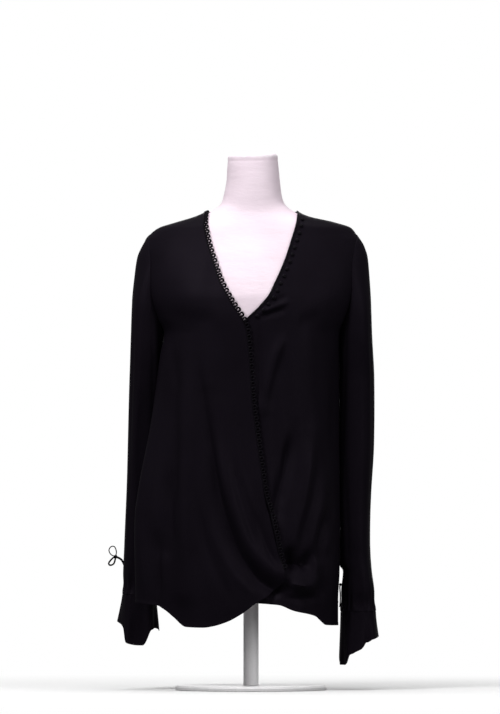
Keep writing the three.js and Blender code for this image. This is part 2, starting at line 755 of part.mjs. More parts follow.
function edgeFrame(surface, normal, edgeX, side, z) {
  const at = (height) => surface(angleAt(edgeX(height), height), height);
  const p = at(z);
  const along = at(z - 1).sub(at(z + 1)).normalize();
  const n = normal(angleAt(edgeX(z), z), z);
  const away = along.clone().cross(n).normalize().multiplyScalar(side);
  return { p, along, n, away };
}

// Heights at even steps along an edge
function evenSteps(surface, edgeX, fromZ, toZ, pitch) {
  const heights = [];
  const at = (z) => surface(angleAt(edgeX(z), z), z);
  let travelled = 0;
  let before = at(fromZ);
  for (let z = fromZ; z > toZ; z -= 0.5) {
    const here = at(z);
    travelled += here.distanceTo(before);
    before = here;
    if (travelled >= pitch * (heights.length + 0.5)) heights.push(z);
  }
  return heights;
}

// A strip with a square section along an edge, from one distance to another
function strip(frames, near, far, high, low) {
  const outer = [];
  const inner = [];
  for (const f of frames) {
    const place = (d, h) => f.p.clone().addScaledVector(f.away, d).addScaledVector(f.n, h);
    outer.push([place(near, high), place(far, high)]);
    inner.push([place(near, low), place(far, low)]);
  }
  return wall(outer, inner, false);
}

// Loop trim: a strip along the right front's edge with a row of open loops

// Each cell of the trim holds a stretch of the strip and one open loop.
// Places are along the edge, away from it, and a side of the strip
function trimCell(cell) {
  const segments = 5;
  const high = TRIM_HIGH;
  const low = high - TRIM_THICK;
  const half = cell.half;
  const footOut = LOOP_RADIUS * 0.9;
  const footIn = LOOP_RADIUS * 0.3;
  const rim = [[-half, 0], [-footOut, 0], [-footIn, 0], [footIn, 0], [footOut, 0], [half, 0]];
  const ring = { outer: [rim[1]], inner: [rim[2]] };
  for (let i = 1; i < segments; i += 1) {
    const turn = LOOP_SWEEP * (i / segments - 0.5);
    const spot = (radius) => [Math.sin(turn) * radius, LOOP_RADIUS * 0.8 + Math.cos(turn) * radius];
    ring.outer.push(spot(LOOP_RADIUS + LOOP_CORD / 2));
    ring.inner.push(spot(LOOP_RADIUS - LOOP_CORD / 2));
  }
  ring.outer.push(rim[4]);
  ring.inner.push(rim[3]);
  const foot = [[-half, -TRIM_WIDTH], [half, -TRIM_WIDTH]];
  const flat = [];
  const fan = (a, b, c) => flat.push([a, b, c]);
  for (let i = 0; i < 2; i += 1) fan(foot[0], rim[i + 1], rim[i]);
  fan(foot[0], rim[3], rim[2]);
  fan(foot[0], foot[1], rim[3]);
  for (let i = 3; i < 5; i += 1) fan(foot[1], rim[i + 1], rim[i]);
  for (let i = 0; i < segments; i += 1) {
    fan(ring.outer[i], ring.inner[i], ring.outer[i + 1]);
    fan(ring.inner[i], ring.inner[i + 1], ring.outer[i + 1]);
  }
  const sides = [[foot[1], foot[0]], [rim[0], rim[1]], [rim[2], rim[3]], [rim[4], rim[5]]];
  for (let i = 0; i < segments; i += 1) {
    sides.push([ring.outer[i], ring.outer[i + 1]], [ring.inner[i + 1], ring.inner[i]]);
  }
  if (cell.first) sides.push([foot[0], rim[0]]);
  if (cell.last) sides.push([rim[5], foot[1]]);
  const triangles = [];
  for (const [a, b, c] of flat) {
    triangles.push([[...a, high], [...b, high], [...c, high]], [[...a, low], [...c, low], [...b, low]]);
  }
  for (const [a, b] of sides) {
    triangles.push([[...a, high], [...b, high], [...b, low]], [[...a, high], [...b, low], [...a, low]]);
  }
  return triangles;
}

function loopTrim() {
  const heights = evenSteps(rightLayer, rightEdge, TRIM_TOP_Z, TRIM_END_Z, LOOP_PITCH);
  const frames = heights.map((z) => edgeFrame(rightLayer, rightNormal, rightEdge, -1, z));
  const joints = [];
  for (let i = 0; i <= heights.length; i += 1) {
    const before = heights[i - 1] ?? 2 * heights[0] - heights[1];
    const after = heights[i] ?? 2 * heights[i - 1] - heights[i - 2];
    joints.push(edgeFrame(rightLayer, rightNormal, rightEdge, -1, (before + after) / 2));
  }
  const place = (frame, [along, away, out]) => frame.p.clone().addScaledVector(frame.along, along)
    .addScaledVector(frame.away, away).addScaledVector(frame.n, out);
  const half = LOOP_PITCH / 2;
  const points = [];
  const faces = [];
  frames.forEach((frame, i) => {
    const cell = { half, first: i === 0, last: i === frames.length - 1 };
    for (const triangle of trimCell(cell)) {
      faces.push([points.length, points.length + 1, points.length + 2]);
      for (const spot of triangle) {
        const [along, away, out] = spot;
        if (along === -half) points.push(place(joints[i], [0, away, out]));
        else if (along === half) points.push(place(joints[i + 1], [0, away, out]));
        else points.push(place(frame, spot));
      }
    }
  });
  return faceOut(mergeVertices(meshFromFaces(points, faces), 1e-3));
}

add('loop_trim', loopTrim(), satin);

// Bindings of the left neck edge and the back neck

function leftBinding() {
  const steps = evenSteps(leftLayer, leftEdge, BINDING_TOP_Z, BINDING_END_Z, 12);
  const heights = [BINDING_TOP_Z, ...steps, BINDING_END_Z];
  const frames = heights.map((z) => edgeFrame(leftLayer, leftNormal, leftEdge, 1, z));
  return strip(frames, -BINDING_WIDTH, 0, BINDING_HIGH, BINDING_HIGH - BINDING_THICK);
}

add('left_neck_binding', leftBinding(), satin);

function backBinding() {
  const count = 14;
  const outer = [];
  const inner = [];
  for (let i = 0; i <= count; i += 1) {
    const round = mix(BACK_BINDING_EASE, 1 - BACK_BINDING_EASE, i / count);
    const angle = Math.PI * (1 + round);
    const low = mix(NECK_Z, BACK_NECK_Z, Math.sin(Math.PI * round) ** 0.5) + BACK_BINDING_LIFT;
    const rows = [low, low + BINDING_WIDTH].map((z) => {
      const n = bodyNormal(angle, z);
      const heights = [BACK_BINDING_HIGH, BACK_BINDING_HIGH - BINDING_THICK];
      return heights.map((h) => bodyPoint(angle, z).addScaledVector(n, h));
    });
    outer.push([rows[0][0], rows[1][0]]);
    inner.push([rows[0][1], rows[1][1]]);
  }
  return wall(outer, inner, false);
}

add('back_neck_binding', backBinding(), satin);

// Covered buttons along the left neck edge

function button(z) {
  const profile = [
    new THREE.Vector2(0, 0),
    new THREE.Vector2(BUTTON_DIAMETER * 0.36, 0),
    new THREE.Vector2(BUTTON_DIAMETER * 0.5, BUTTON_HEIGHT * 0.4),
    new THREE.Vector2(BUTTON_DIAMETER * 0.34, BUTTON_HEIGHT * 0.85),
    new THREE.Vector2(0, BUTTON_HEIGHT),
  ];
  const geometry = new THREE.LatheGeometry(profile, 8);
  const slant = Math.hypot(1, (leftEdge(z + 2) - leftEdge(z - 2)) / 4);
  const angle = angleAt(leftEdge(z) + (BINDING_WIDTH + BUTTON_INSET) * slant, z);
  const n = bodyNormal(angle, z);
  const seat = bodyPoint(angle, z).addScaledVector(n, TOUCH / 2);
  const turn = new THREE.Quaternion().setFromUnitVectors(new THREE.Vector3(0, 1, 0), n);
  geometry.applyMatrix4(new THREE.Matrix4().compose(seat, turn, new THREE.Vector3(1, 1, 1)));
  return fromSolid(toSolid(geometry));
}

const buttonSteps = evenSteps(bodyPoint, leftEdge, BUTTON_TOP_Z, BUTTON_END_Z, BUTTON_PITCH);
buttonSteps.slice(0, BUTTON_COUNT).forEach((z, i) => {
  add(`button_${String(i + 1).padStart(2, '0')}`, button(z), satin);
});

// Rouleau ties: tubes along short curves, joined in a knot

function cord(points, closed) {
  const path = new THREE.CatmullRomCurve3(points.map((p) => new THREE.Vector3(...p)), closed);
  const shape = new THREE.Shape();
  shape.absarc(0, 0, TIE_DIAMETER / 2, 0, 2 * Math.PI);
  const geometry = new THREE.ExtrudeGeometry(shape, {
    steps: 8,
    curveSegments: 3,
    extrudePath: path,
    bevelEnabled: false,
  });
  return geometry;
}

function knot(at, radius) {
  const geometry = new THREE.SphereGeometry(radius, 8, 6);
  geometry.translate(...at);
  return geometry;
}

// Right tie: a strand from the sleeve's outer side, a round loop above and a flat loop below
function rightTie() {
  const y = rightSleeve.tube(0, 222).y;
  return join([
    knot([-233.5, y, 228.5], 3.2),
    cord([[-220.6, y, 221], [-227, y, 223], [-233.5, y, 228.5]], false),
    cord([[-233.5, y, 228.5], [-232.5, y - 1.5, 238], [-237, y - 2, 246], [-244.5, y - 1, 243.5],
      [-246, y, 236], [-240, y + 1, 230.5], [-233.5, y, 228.5]], false),
    cord([[-233.5, y, 228.5], [-240, y - 2, 225], [-247, y - 2, 219.5], [-246, y, 215.5],
      [-240, y + 2, 219], [-233.5, y, 228.5]], false),
  ]);
}

// Left tie: two short links at the inner side of the sleeve
function leftTie() {
  const y = leftSleeve.tube(0.5, 181).y;
  return join([
    knot([154, y - 6, 181], 2.6),
    cord([[154.9, y + 1, 181], [154.6, y - 2, 181], [154, y - 6, 181]], false),
    cord([[154, y - 6, 181], [153, y - 10, 176], [153.8, y - 15, 162], [153.4, y - 16, 147],
      [152.6, y - 14, 143]], false),
  ]);
}

add('right_tie', rightTie(), satin);
add('left_tie', leftTie(), satin);

// Dress form: neck and torso in one smooth body

const form = table(FORM, 'z', ['middle', 'half', 'front', 'back']);

function dressForm(grid) {
  const zs = FORM.map((row) => row.z);
  const points = [];
  const faces = [];
  for (const z of zs) {
    for (let j = 0; j < grid.across; j += 1) {
      const angle = 2 * Math.PI * j / grid.across;
      const half = form.half(z);
      const [x, y] = sectionPoint(angle, half, half, form.front(z), form.back(z));
      points.push(new THREE.Vector3(x + form.middle(z), y, z));
    }
  }
  const high = points.length;
  points.push(new THREE.Vector3(form.middle(zs[0]), 0, zs[0]));
  points.push(new THREE.Vector3(form.middle(zs.at(-1)), 0, zs.at(-1)));
  for (let i = 0; i + 1 < zs.length; i += 1) {
    for (let j = 0; j < grid.across; j += 1) {
      const a = i * grid.across + j;
      const b = i * grid.across + (j + 1) % grid.across;
      faces.push([a, a + grid.across, b + grid.across], [a, b + grid.across, b]);
    }
  }
  const end = (zs.length - 1) * grid.across;
  for (let j = 0; j < grid.across; j += 1) {
    const next = (j + 1) % grid.across;
    faces.push([high, j, next], [high + 1, end + next, end + j]);
  }
  return meshFromFaces(points, faces);
}

add('dress_form', faceOut(dressForm(GRID.form)), jersey);

// Pole and base

const poleLength = FORM_BOTTOM_Z - BASE_THICK - 2 * TOUCH;
const pole = new THREE.CylinderGeometry(POLE_DIAMETER / 2, POLE_DIAMETER / 2, poleLength, 24);
pole.rotateX(Math.PI / 2);
pole.translate(0, 0, BASE_THICK + TOUCH + poleLength / 2);
add('pole', fromSolid(toSolid(pole)), enamel);

const baseProfile = [
  new THREE.Vector2(0, 0),
  new THREE.Vector2(BASE_DIAMETER / 2 - 1, 0),
  new THREE.Vector2(BASE_DIAMETER / 2, 1),
  new THREE.Vector2(BASE_DIAMETER / 2, BASE_THICK - 3),
  new THREE.Vector2(BASE_DIAMETER / 2 - 3, BASE_THICK),
  new THREE.Vector2(0, BASE_THICK),
];
const base = new THREE.LatheGeometry(baseProfile, 32);
base.rotateX(Math.PI / 2);
add('base', fromSolid(toSolid(base)), enamel);

export default top;
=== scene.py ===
# Looks of a wrap top on a limbless dress form: crepe, satin trim, jersey and a painted stand.
# Shapes are worked out in millimetres from the same tables as the solids and made in metres.
# Right and left are the wearer's: the right side is -X, and the front faces -Y.

import math

import bpy
import numpy as np
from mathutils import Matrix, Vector


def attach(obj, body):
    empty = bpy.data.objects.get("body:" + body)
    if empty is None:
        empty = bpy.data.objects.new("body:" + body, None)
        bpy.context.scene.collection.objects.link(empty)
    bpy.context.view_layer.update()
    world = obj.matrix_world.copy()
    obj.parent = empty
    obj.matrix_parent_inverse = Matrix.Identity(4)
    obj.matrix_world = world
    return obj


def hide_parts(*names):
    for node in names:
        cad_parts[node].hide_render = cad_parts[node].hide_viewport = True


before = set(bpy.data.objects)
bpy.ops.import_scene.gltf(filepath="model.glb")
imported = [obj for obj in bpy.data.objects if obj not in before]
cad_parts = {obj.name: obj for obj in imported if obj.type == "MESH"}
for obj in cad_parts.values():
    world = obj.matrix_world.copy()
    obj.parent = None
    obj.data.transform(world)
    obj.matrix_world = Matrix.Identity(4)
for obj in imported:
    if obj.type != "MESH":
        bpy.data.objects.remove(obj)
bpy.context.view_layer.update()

MM = 0.001
TAU = 2 * math.pi

# Sizes. The heights and edges are those of the solids; cloth, seams, cords and buttons show finer

WALL = 0.9  # thickness of the cloth
SEAM = 0.03  # gap between two sewn pieces
LAYER = 3.4  # height of the right front over the left front, at the bust
LOW_LAYER = 5.0  # and at the folds below
DEEPER = 8.0  # depth of the left front where the right front covers it
LIGHTER = 5.0  # and near the hem, where the under layer shows
SHOULDER_Z = 783  # where the shoulder seam meets the armhole
NECK_Z = 822  # where the shoulder seam meets the neckline
BACK_NECK_Z = 818  # middle of the back neck edge
UNDERARM_Z = 612
ARMHOLE_FRONT = 50  # half depth of the armhole towards the front
ARMHOLE_BACK = 52  # and towards the back
SIDE_HEM_Z = 150  # hem at the side seams
RIGHT_WRIST_Z = 165
LEFT_WRIST_Z = 136
GATHER_Z = 196  # where the folds of the fronts are drawn together
LEFT_END_Z = 160  # bottom of the left front's covered edge
EDGE_EASE = 0.7  # the bound edges of the fronts end inside their bindings
EDGE_TIP_Z = 821  # where a front's edge turns back over the shoulder
SHOULDER_RUN = 20  # about the length from there to the shoulder seam
SEAM_PLACE = EDGE_TIP_Z + SHOULDER_RUN
STRIP_STEP = 4  # between the sections of a sewn strip
TRIM_WIDTH = 3  # strip that carries the loops
TRIM_THICK = 2.0
TRIM_LIFT = -0.45  # middle of the strip over the cloth's face
TRIM_END_Z = 208
LOOP_PITCH = 10
LOOP_RADIUS = 3.05  # to the middle of the cord
LOOP_CORD = 3.3  # thickness of the cord
LOOP_SWEEP = 0.86 * math.pi  # half of the turn that a loop makes
LOOP_AWAY = 0.8  # middle of a loop beyond the edge, as a part of its radius
LOOP_SUNK = 0.3  # and below the cloth's face
BINDING_WIDTH = 5
BINDING_THICK = 1.8
BINDING_LIFT = -0.35
BINDING_END_Z = 630
BACK_BINDING_THICK = 1.7
BACK_BINDING_LIFT = 0.1
BACK_BINDING_LAP = 1.2  # how far it reaches below the back neck edge
BACK_BINDING_EASE = 0.004  # part of the back neck left free at each shoulder
BUTTON_TOP_Z = 812
BUTTON_END_Z = 642
BUTTON_COUNT = 15
BUTTON_PITCH = 14.6
BUTTON_DIAMETER = 7
BUTTON_HEIGHT = 3.4
BUTTON_INSET = 5  # from the binding to the middle of a button
BUTTON_LIFT = 0.1
TIE_RADIUS = 1.2
SQUARENESS = 2.25  # of the body's sections: 2 is an ellipse, more is squarer
SWELL_Y = -58  # where the swelling is fullest, and how far it reaches
SWELL_REACH = 36
ARM_SHARE = 0.5  # part of a side edge that the armhole takes
NECK_SHARE = 0.25  # part of the back's top that each shoulder seam takes
SIDE_REACH = 150  # from the middle to a side seam
NECK_REACH = 90  # and to the neckline at a shoulder seam

# Sections of the cloth round the body

BODY_COLUMNS = ("z", "right", "left", "front", "back", "swell")
BODY = [
    (836, 60, 62, 48, 51, 0), (826, 72, 75, 50, 53, 0), (815, 95, 99, 56, 60, 0),
    (805, 127.5, 142, 61, 66, 0), (795, 158.5, 172, 66, 71, 0), (784, 173, 181, 71, 76, 0),
    (774, 181, 187, 76, 80, 0), (750, 188, 191, 88, 88, 0), (722, 189, 190, 101, 94, 0),
    (700, 187, 188, 110, 97, 0), (671, 180, 181, 119, 98, 0), (640, 165, 167, 122, 96, 0),
    (612, 150, 154, 121, 93, 3), (580, 150, 153, 119.5, 91, 14), (533, 150, 152, 117, 88, 22),
    (447, 151, 152, 116, 86, 35), (342, 153, 153, 118, 90, 53), (300, 154, 153, 119, 93, 57),
    (205, 154, 152.5, 119, 95, 58), (155, 154, 150, 118, 96, 58), (100, 154, 150, 117, 97, 58),
]

# Sections of the dress form

FORM_COLUMNS = ("z", "middle", "half", "front", "back")
FORM = [
    (924, 2.5, 37, 41, 43), (920, 3, 41.5, 45, 47), (900, 3.3, 44, 47, 49), (875, 3.8, 46, 48, 50),
    (848, 3, 50.5, 48, 51), (836, 3, 55, 47.5, 50), (826, 2.5, 66.5, 48, 49), (815, 3, 86.5, 52, 53),
    (805, 5, 120, 57, 58), (795, 3.5, 148, 62, 61.5), (784, 2, 161, 67, 69), (774, 1, 165.5, 72, 75),
    (750, 0, 167, 85, 85), (722, 0, 161, 98, 91), (700, 0, 156, 107, 94), (671, 0, 149, 115, 94.5),
    (640, 0, 142, 116, 91), (612, 0, 137, 109, 86), (580, 0, 132, 99, 81), (533, 0, 124, 89, 74),
    (480, 0, 117, 84, 70), (447, 0, 117, 85, 72), (400, 0, 124, 90, 79), (342, 0, 136, 96, 85),
    (300, 0, 140, 98, 86), (250, 0, 138, 97, 86), (195, 0, 132, 92, 82),
]

# Edges of the fronts in front view: height and place across

RIGHT_EDGE = [
    (822, -77.5), (817, -79.5), (805, -80), (784, -77), (743, -66), (702, -52), (660, -28.5), (640, -15),
    (619, -6.5), (564, -1), (502, 3.5), (413, 14), (344, 24), (301, 35), (244, 47), (196, 56),
]
LEFT_EDGE = [
    (822, 80), (815, 79), (805, 77.5), (784, 72), (743, 58.5), (722, 50), (702, 41), (681, 31), (660, 13.8),
    (639, -8), (612, -34), (560, -60), (480, -84), (380, -96), (160, -100),
]

# Hems of the fronts: place across and height

RIGHT_HEM = [
    (-200, 152), (-160, 146), (-146, 139), (-132, 127.5), (-110, 110.3), (-81, 109.3), (-64, 111.8),
    (-40, 119.5), (-15, 133.5), (8.6, 151), (30, 164), (43, 175), (56, 196),
]
LEFT_HEM = [
    (-110, 160), (8, 151), (47, 148), (73, 138), (110, 128.8), (120, 119.8), (129, 113.2), (152, 111.6),
]

# Folds in front view: start, pull and end of each line, height and half width

FOLD_COLUMNS = ("x0", "z0", "x1", "z1", "x2", "z2", "height", "width")
FRONT_FOLDS = [
    (-78, 511, -55, 215, 43, 173, -10, 12), (-56, 490, -34, 228, 52, 200, 7, 13),
    (-112, 600, -100, 400, -112, 170, 5, 18), (-134, 400, -142, 320, -146, 243, -5, 14),
    (-160, 285, -166, 220, -164, 150, -6, 12), (62, 612, 32, 576, 22, 487, 4, 14),
    (74, 450, 58, 372, 47, 308, -8, 13), (102, 440, 96, 350, 68, 250, 6, 15),
    (124, 345, 98, 272, 112, 196, 5, 13), (131, 308, 118, 276, 116, 235, -5, 11),
]
BACK_FOLDS = [
    (-78, 640, -92, 420, -86, 140, 5, 22), (-34, 560, -30, 340, -40, 130, -4, 18),
    (12, 600, 18, 380, 10, 135, 5, 20), (58, 520, 50, 330, 56, 130, -4, 18),
    (96, 630, 104, 420, 98, 140, 4, 20),
]
PUFF = {"x": 88, "z": 182, "half_width": 24, "half_height": 17, "height": 9}

# Finer creases that the solids leave out, in the same columns

FRONT_CREASES = [
    (-114, 600, -118, 390, -104, 165, 3.0, 9), (-148, 380, -141, 310, -130, 235, -3.2, 9),
    (-194, 312, -190, 230, -180, 150, 3.0, 9), (-172, 300, -164, 215, -156, 145, -4.5, 8),
    (-92, 566, -84, 480, -72, 395, -3.2, 10), (-84, 500, -70, 222, 30, 166, -3.2, 13),
    (-80, 430, -67, 226, 24, 168, -4.6, 6.5), (-62, 480, -38, 262, 42, 196, 3.0, 8),
    (-40, 440, -22, 300, 22, 210, -2.4, 5), (-24, 420, -4, 320, 40, 226, 2.0, 5),
    (-90, 470, -72, 260, 8, 168, 2.0, 7), (2, 322, 22, 262, 50, 190, -3.6, 5),
    (-98, 360, -88, 230, -20, 140, -2.6, 9), (-70, 300, -50, 200, 20, 156, 1.8, 6),
    (-122, 560, -128, 420, -130, 300, -2.4, 9), (-92, 590, -84, 460, -88, 330, -2.0, 8),
    (-150, 420, -162, 330, -178, 250, 2.4, 9), (-140, 620, -132, 560, -118, 500, -1.8, 8),
    (-150, 652, -104, 630, -50, 640, -3.0, 15), (8, 643, 38, 660, 73, 671, 4.0, 4.5),
    (12, 640, 36, 648, 64, 655, -4.2, 4.5), (24, 661, 44, 669, 66, 678, -2.6, 5),
    (13, 634, 14, 560, 14, 480, -4.2, 6), (60, 616, 34, 574, 21, 487, 2.6, 7),
    (66, 606, 40, 540, 27, 455, -2.6, 9), (80, 462, 62, 374, 42, 296, -6.0, 9),
    (104, 446, 98, 350, 66, 246, 2.8, 7), (88, 470, 74, 380, 58, 290, 2.0, 5),
    (60, 430, 50, 350, 50, 240, 2.4, 6), (118, 430, 108, 340, 86, 240, -3.2, 8),
    (138, 420, 124, 320, 100, 240, 2.2, 8), (146, 560, 140, 470, 138, 380, -2.4, 9),
    (131, 312, 120, 276, 114, 232, -2.6, 6), (142, 308, 135, 270, 125, 226, 3.2, 6),
    (62, 250, 68, 226, 78, 206, -15.0, 9), (102, 244, 98, 222, 92, 205, -12.0, 8),
    (58, 182, 84, 190, 110, 180, 7.0, 9), (54, 192, 80, 189, 108, 187, -3.4, 4),
    (54, 188, 78, 176, 106, 174, 2.6, 4), (56, 184, 70, 168, 92, 166, -3.4, 4),
    (62, 166, 88, 150, 120, 170, -3.6, 7), (58, 224, 82, 214, 108, 222, -7.0, 8),
    (112, 206, 122, 186, 118, 150, -3.2, 7), (134, 232, 138, 190, 134, 140, 2.6, 7),
    (128, 650, 100, 630, 78, 634, -2.6, 14),
]
BACK_CREASES = [
    (-134, 610, -114, 500, -122, 330, -3.0, 10), (-104, 560, -108, 400, -100, 200, 2.2, 8),
    (-56, 600, -62, 470, -58, 300, -2.8, 9), (-30, 430, -22, 300, -30, 160, 2.0, 8),
    (-12, 500, -4, 320, -16, 140, -2.8, 9), (26, 430, 34, 300, 24, 150, 2.2, 8),
    (36, 540, 30, 380, 36, 180, -2.0, 8), (78, 570, 86, 420, 76, 230, -2.8, 9),
    (118, 470, 112, 330, 120, 160, 2.2, 8), (128, 620, 120, 480, 126, 290, -3.0, 10),
    (-110, 744, -60, 716, -14, 714, 2.0, 9), (112, 746, 62, 722, 18, 718, -2.2, 9),
    (-90, 712, -40, 700, 4, 706, -1.8, 8), (-130, 700, -100, 650, -90, 590, -2.4, 9),
    (132, 700, 100, 650, 94, 590, -2.4, 9), (-70, 240, -74, 190, -70, 140, 2.2, 9),
    (60, 260, 66, 200, 62, 140, 2.4, 9),
]

# Slow ripples of the body: height, waves round the body, lean for each millimetre, phase

RIPPLES = [(0.9, 9, 0.011, 0), (0.7, 15, -0.017, 1.7), (0.45, 27, 0.021, 0.6)]

# Sections of the sleeves, and edges of the cuffs by turn

SLEEVE_COLUMNS = ("z", "outer", "inner", "middle", "half")
RIGHT_SLEEVE = [
    (783, 174.5, 150, 0, 52), (764, 186.5, 150, 0, 52), (743, 195.3, 150, 0, 52), (712, 200, 151, 0, 52),
    (671, 204.3, 153, 0, 52), (612, 206.6, 154, 6, 52), (533, 208.8, 155, 20, 52), (447, 210.8, 158, 36, 51),
    (361, 213, 160, 47, 50), (258, 217.3, 162, 51, 49), (165, 221, 164, 51, 45),
]
LEFT_SLEEVE = [
    (783, 182, 153, 0, 52), (764, 194, 154, 0, 52), (743, 200.3, 154, 0, 52), (712, 203, 155, 0, 52),
    (671, 205.5, 155, 0, 52), (612, 207.3, 152.5, 6, 52), (533, 210.5, 150.5, 24, 52),
    (426, 209.3, 149, 31, 51), (340, 205, 149, 33, 50), (258, 203, 150.5, 33, 49), (230, 204, 150.5, 33, 48),
    (215, 205.3, 153, 33, 48), (205, 206.3, 159.5, 33, 48), (172, 211.3, 156.5, 33, 48),
    (136, 214.5, 154.5, 33, 46),
]
CUFF_COLUMNS = ("turn", "z", "flare")
RIGHT_CUFF = [
    (0, 118, 8), (0.1, 108, 6), (0.17, 81, 9), (0.26, 76.5, 3), (0.33, 103, 8), (0.42, 106, 2), (0.5, 101, 8),
    (0.62, 112, 3), (0.75, 96, 9), (0.88, 108, 4), (1, 118, 8),
]
LEFT_CUFF = [
    (0, 91, 4), (0.1, 89, 7), (0.2, 83, 3), (0.24, 71, 5), (0.265, 63.5, 6), (0.29, 60.5, 8), (0.312, 47, 9),
    (0.34, 43.5, 7), (0.4, 43.5, 3), (0.47, 45.5, 4), (0.56, 76, 2), (0.68, 88, 8), (0.8, 80, 3),
    (0.9, 90, 8), (1, 91, 4),
]

# Creases of the sleeves: turn and height of the middle, reach along the turn and the height,
# lean (turns for each 100 mm) and depth of the crease

SLEEVE_CREASE_COLUMNS = ("turn", "z", "wide", "tall", "lean", "depth")
SLEEVE_CREASES = [
    (0.12, 520, 0.030, 150, 0.012, 2.6), (0.20, 470, 0.024, 120, 0.020, -2.6),
    (0.30, 560, 0.030, 130, -0.014, 2.4), (0.38, 430, 0.028, 140, -0.010, -2.6),
    (0.46, 520, 0.030, 110, 0.016, 2.0), (0.10, 330, 0.026, 110, -0.016, -2.4),
    (0.24, 300, 0.030, 130, 0.010, 2.8), (0.34, 250, 0.022, 90, 0.020, -2.4),
    (0.60, 470, 0.030, 150, 0.010, -2.4), (0.70, 540, 0.026, 130, -0.012, 2.4),
    (0.80, 430, 0.030, 150, 0.014, 2.6), (0.90, 500, 0.026, 120, -0.012, -2.4),
    (0.66, 290, 0.026, 110, 0.016, 2.4), (0.78, 270, 0.024, 100, -0.016, -2.4),
    (0.94, 300, 0.028, 120, 0.010, 2.4), (0.02, 640, 0.040, 90, 0.010, 2.0),
    (0.16, 690, 0.030, 60, 0.030, -1.8), (0.86, 690, 0.030, 60, -0.030, -1.8),
    (0.06, 430, 0.020, 90, -0.020, 1.6),
]
FLATTER = 1.2  # how much squarer than an ellipse a sleeve's section lies
SLEEVE_CLEAR = 0.8  # from the body to a sleeve that hangs against it
SLEEVE_TUCK = 0.25  # a sleeve starts this far inside the armhole's edge
ARMHOLE_HOLD = 0.42  # part of a sleeve's length that the armhole still shapes
WRIST_GATHERS = 17  # folds drawn in at the wrist
GATHER_HEIGHT = 1.5
GATHER_FADE = 30.0  # height over which the gathers die out
WRIST_DRAW = 2.0  # how far the cloth is drawn in above the wrist seam
CUFF_WAVES = 7
CUFF_WAVE_HEIGHT = 1.5

# Helpers


def smooth(start, end, value):
    t = np.clip((value - start) / (end - start), 0, 1)
    return t * t * (3 - 2 * t)


def mix(a, b, t):
    return a + (b - a) * t


def column(rows, number):
    """A smooth curve through one column of a table over its first one, without overshoot."""
    pairs = sorted((row[0], row[number]) for row in rows)
    u = np.array([pair[0] for pair in pairs], float)
    v = np.array([pair[1] for pair in pairs], float)
    rise = np.diff(v) / np.diff(u)
    slope = np.zeros(len(u))
    slope[0], slope[-1] = rise[0], rise[-1]
    for i in range(1, len(u) - 1):
        if rise[i - 1] * rise[i] > 0:
            slope[i] = 2 * rise[i - 1] * rise[i] / (rise[i - 1] + rise[i])

    def value(at):
        place = np.clip(np.asarray(at, float), u[0], u[-1])
        i = np.clip(np.searchsorted(u, place, side="left") - 1, 0, len(u) - 2)
        width = u[i + 1] - u[i]
        t = (place - u[i]) / width
        bend = width * (t * (1 - t) ** 2 * slope[i] - t * t * (1 - t) * slope[i + 1])
        return v[i] * (1 + 2 * t) * (1 - t) ** 2 + v[i + 1] * t * t * (3 - 2 * t) + bend

    return value


def unit(vectors):
    return vectors / np.linalg.norm(vectors, axis=-1, keepdims=True)


def table(rows, columns):
    return {name: column(rows, number) for number, name in enumerate(columns) if number}


def fold_lines(rows):
    lines = []
    t = np.linspace(0, 1, 15)
    for row in rows:
        fold = dict(zip(FOLD_COLUMNS, row))
        a, b, c = (1 - t) ** 2, 2 * t * (1 - t), t * t
        fold["x"] = a * fold["x0"] + b * fold["x1"] + c * fold["x2"]
        fold["z"] = a * fold["z0"] + b * fold["z1"] + c * fold["z2"]
        lines.append(fold)
    return lines


def fold_height(lines, x, z, end_fade):
    """Height of a set of folds; each reaches three widths from its own line."""
    shape = np.shape(x)
    x, z = np.ravel(x), np.ravel(z)
    total = np.zeros(len(x))
    for line in lines:
        reach = 3 * line["width"]
        near = (x > line["x"].min() - reach) & (x < line["x"].max() + reach)
        near &= (z > line["z"].min() - reach) & (z < line["z"].max() + reach)
        if not near.any():
            continue
        px, pz = x[near], z[near]
        best = np.full(len(px), np.inf)
        place = np.zeros(len(px))
        last = len(line["x"]) - 1
        for i in range(last):
            ax, az = line["x"][i], line["z"][i]
            dx, dz = line["x"][i + 1] - ax, line["z"][i + 1] - az
            t = np.clip(((px - ax) * dx + (pz - az) * dz) / (dx * dx + dz * dz), 0, 1)
            away = (px - ax - t * dx) ** 2 + (pz - az - t * dz) ** 2
            nearer = away < best
            best = np.where(nearer, away, best)
            place = np.where(nearer, (i + t) / last, place)
        ends = 0.15 + 0.85 * smooth(0, 0.35, place)
        ends = ends * (1 - end_fade * smooth(0.7, 1, place))
        total[near] += line["height"] * ends * np.exp(-best / line["width"] ** 2)
    return total.reshape(shape)


body = table(BODY, BODY_COLUMNS)
form = table(FORM, FORM_COLUMNS)
right_edge, left_edge = column(RIGHT_EDGE, 1), column(LEFT_EDGE, 1)
right_hem, left_hem = column(RIGHT_HEM, 1), column(LEFT_HEM, 1)
front_lines, back_lines = fold_lines(FRONT_FOLDS), fold_lines(BACK_FOLDS)
front_creases, back_creases = fold_lines(FRONT_CREASES), fold_lines(BACK_CREASES)


def section_point(angle, right, left, front, back):
    c, s = np.cos(angle), np.sin(angle)
    across = np.abs(c) / np.where(c > 0, right, left)
    deep = np.abs(s) / np.where(s > 0, front, back)
    radius = (across**SQUARENESS + deep**SQUARENESS) ** (-1 / SQUARENESS)
    return -c * radius, -s * radius


def ripple(angle, z):
    """Slow unevenness of hanging cloth, stronger lower down."""
    wave = 0
    for height, around, lean, phase in RIPPLES:
        wave = wave + height * np.sin(angle * around + lean * z + phase)
    return wave * (0.25 + 0.75 * smooth(640, 300, z))


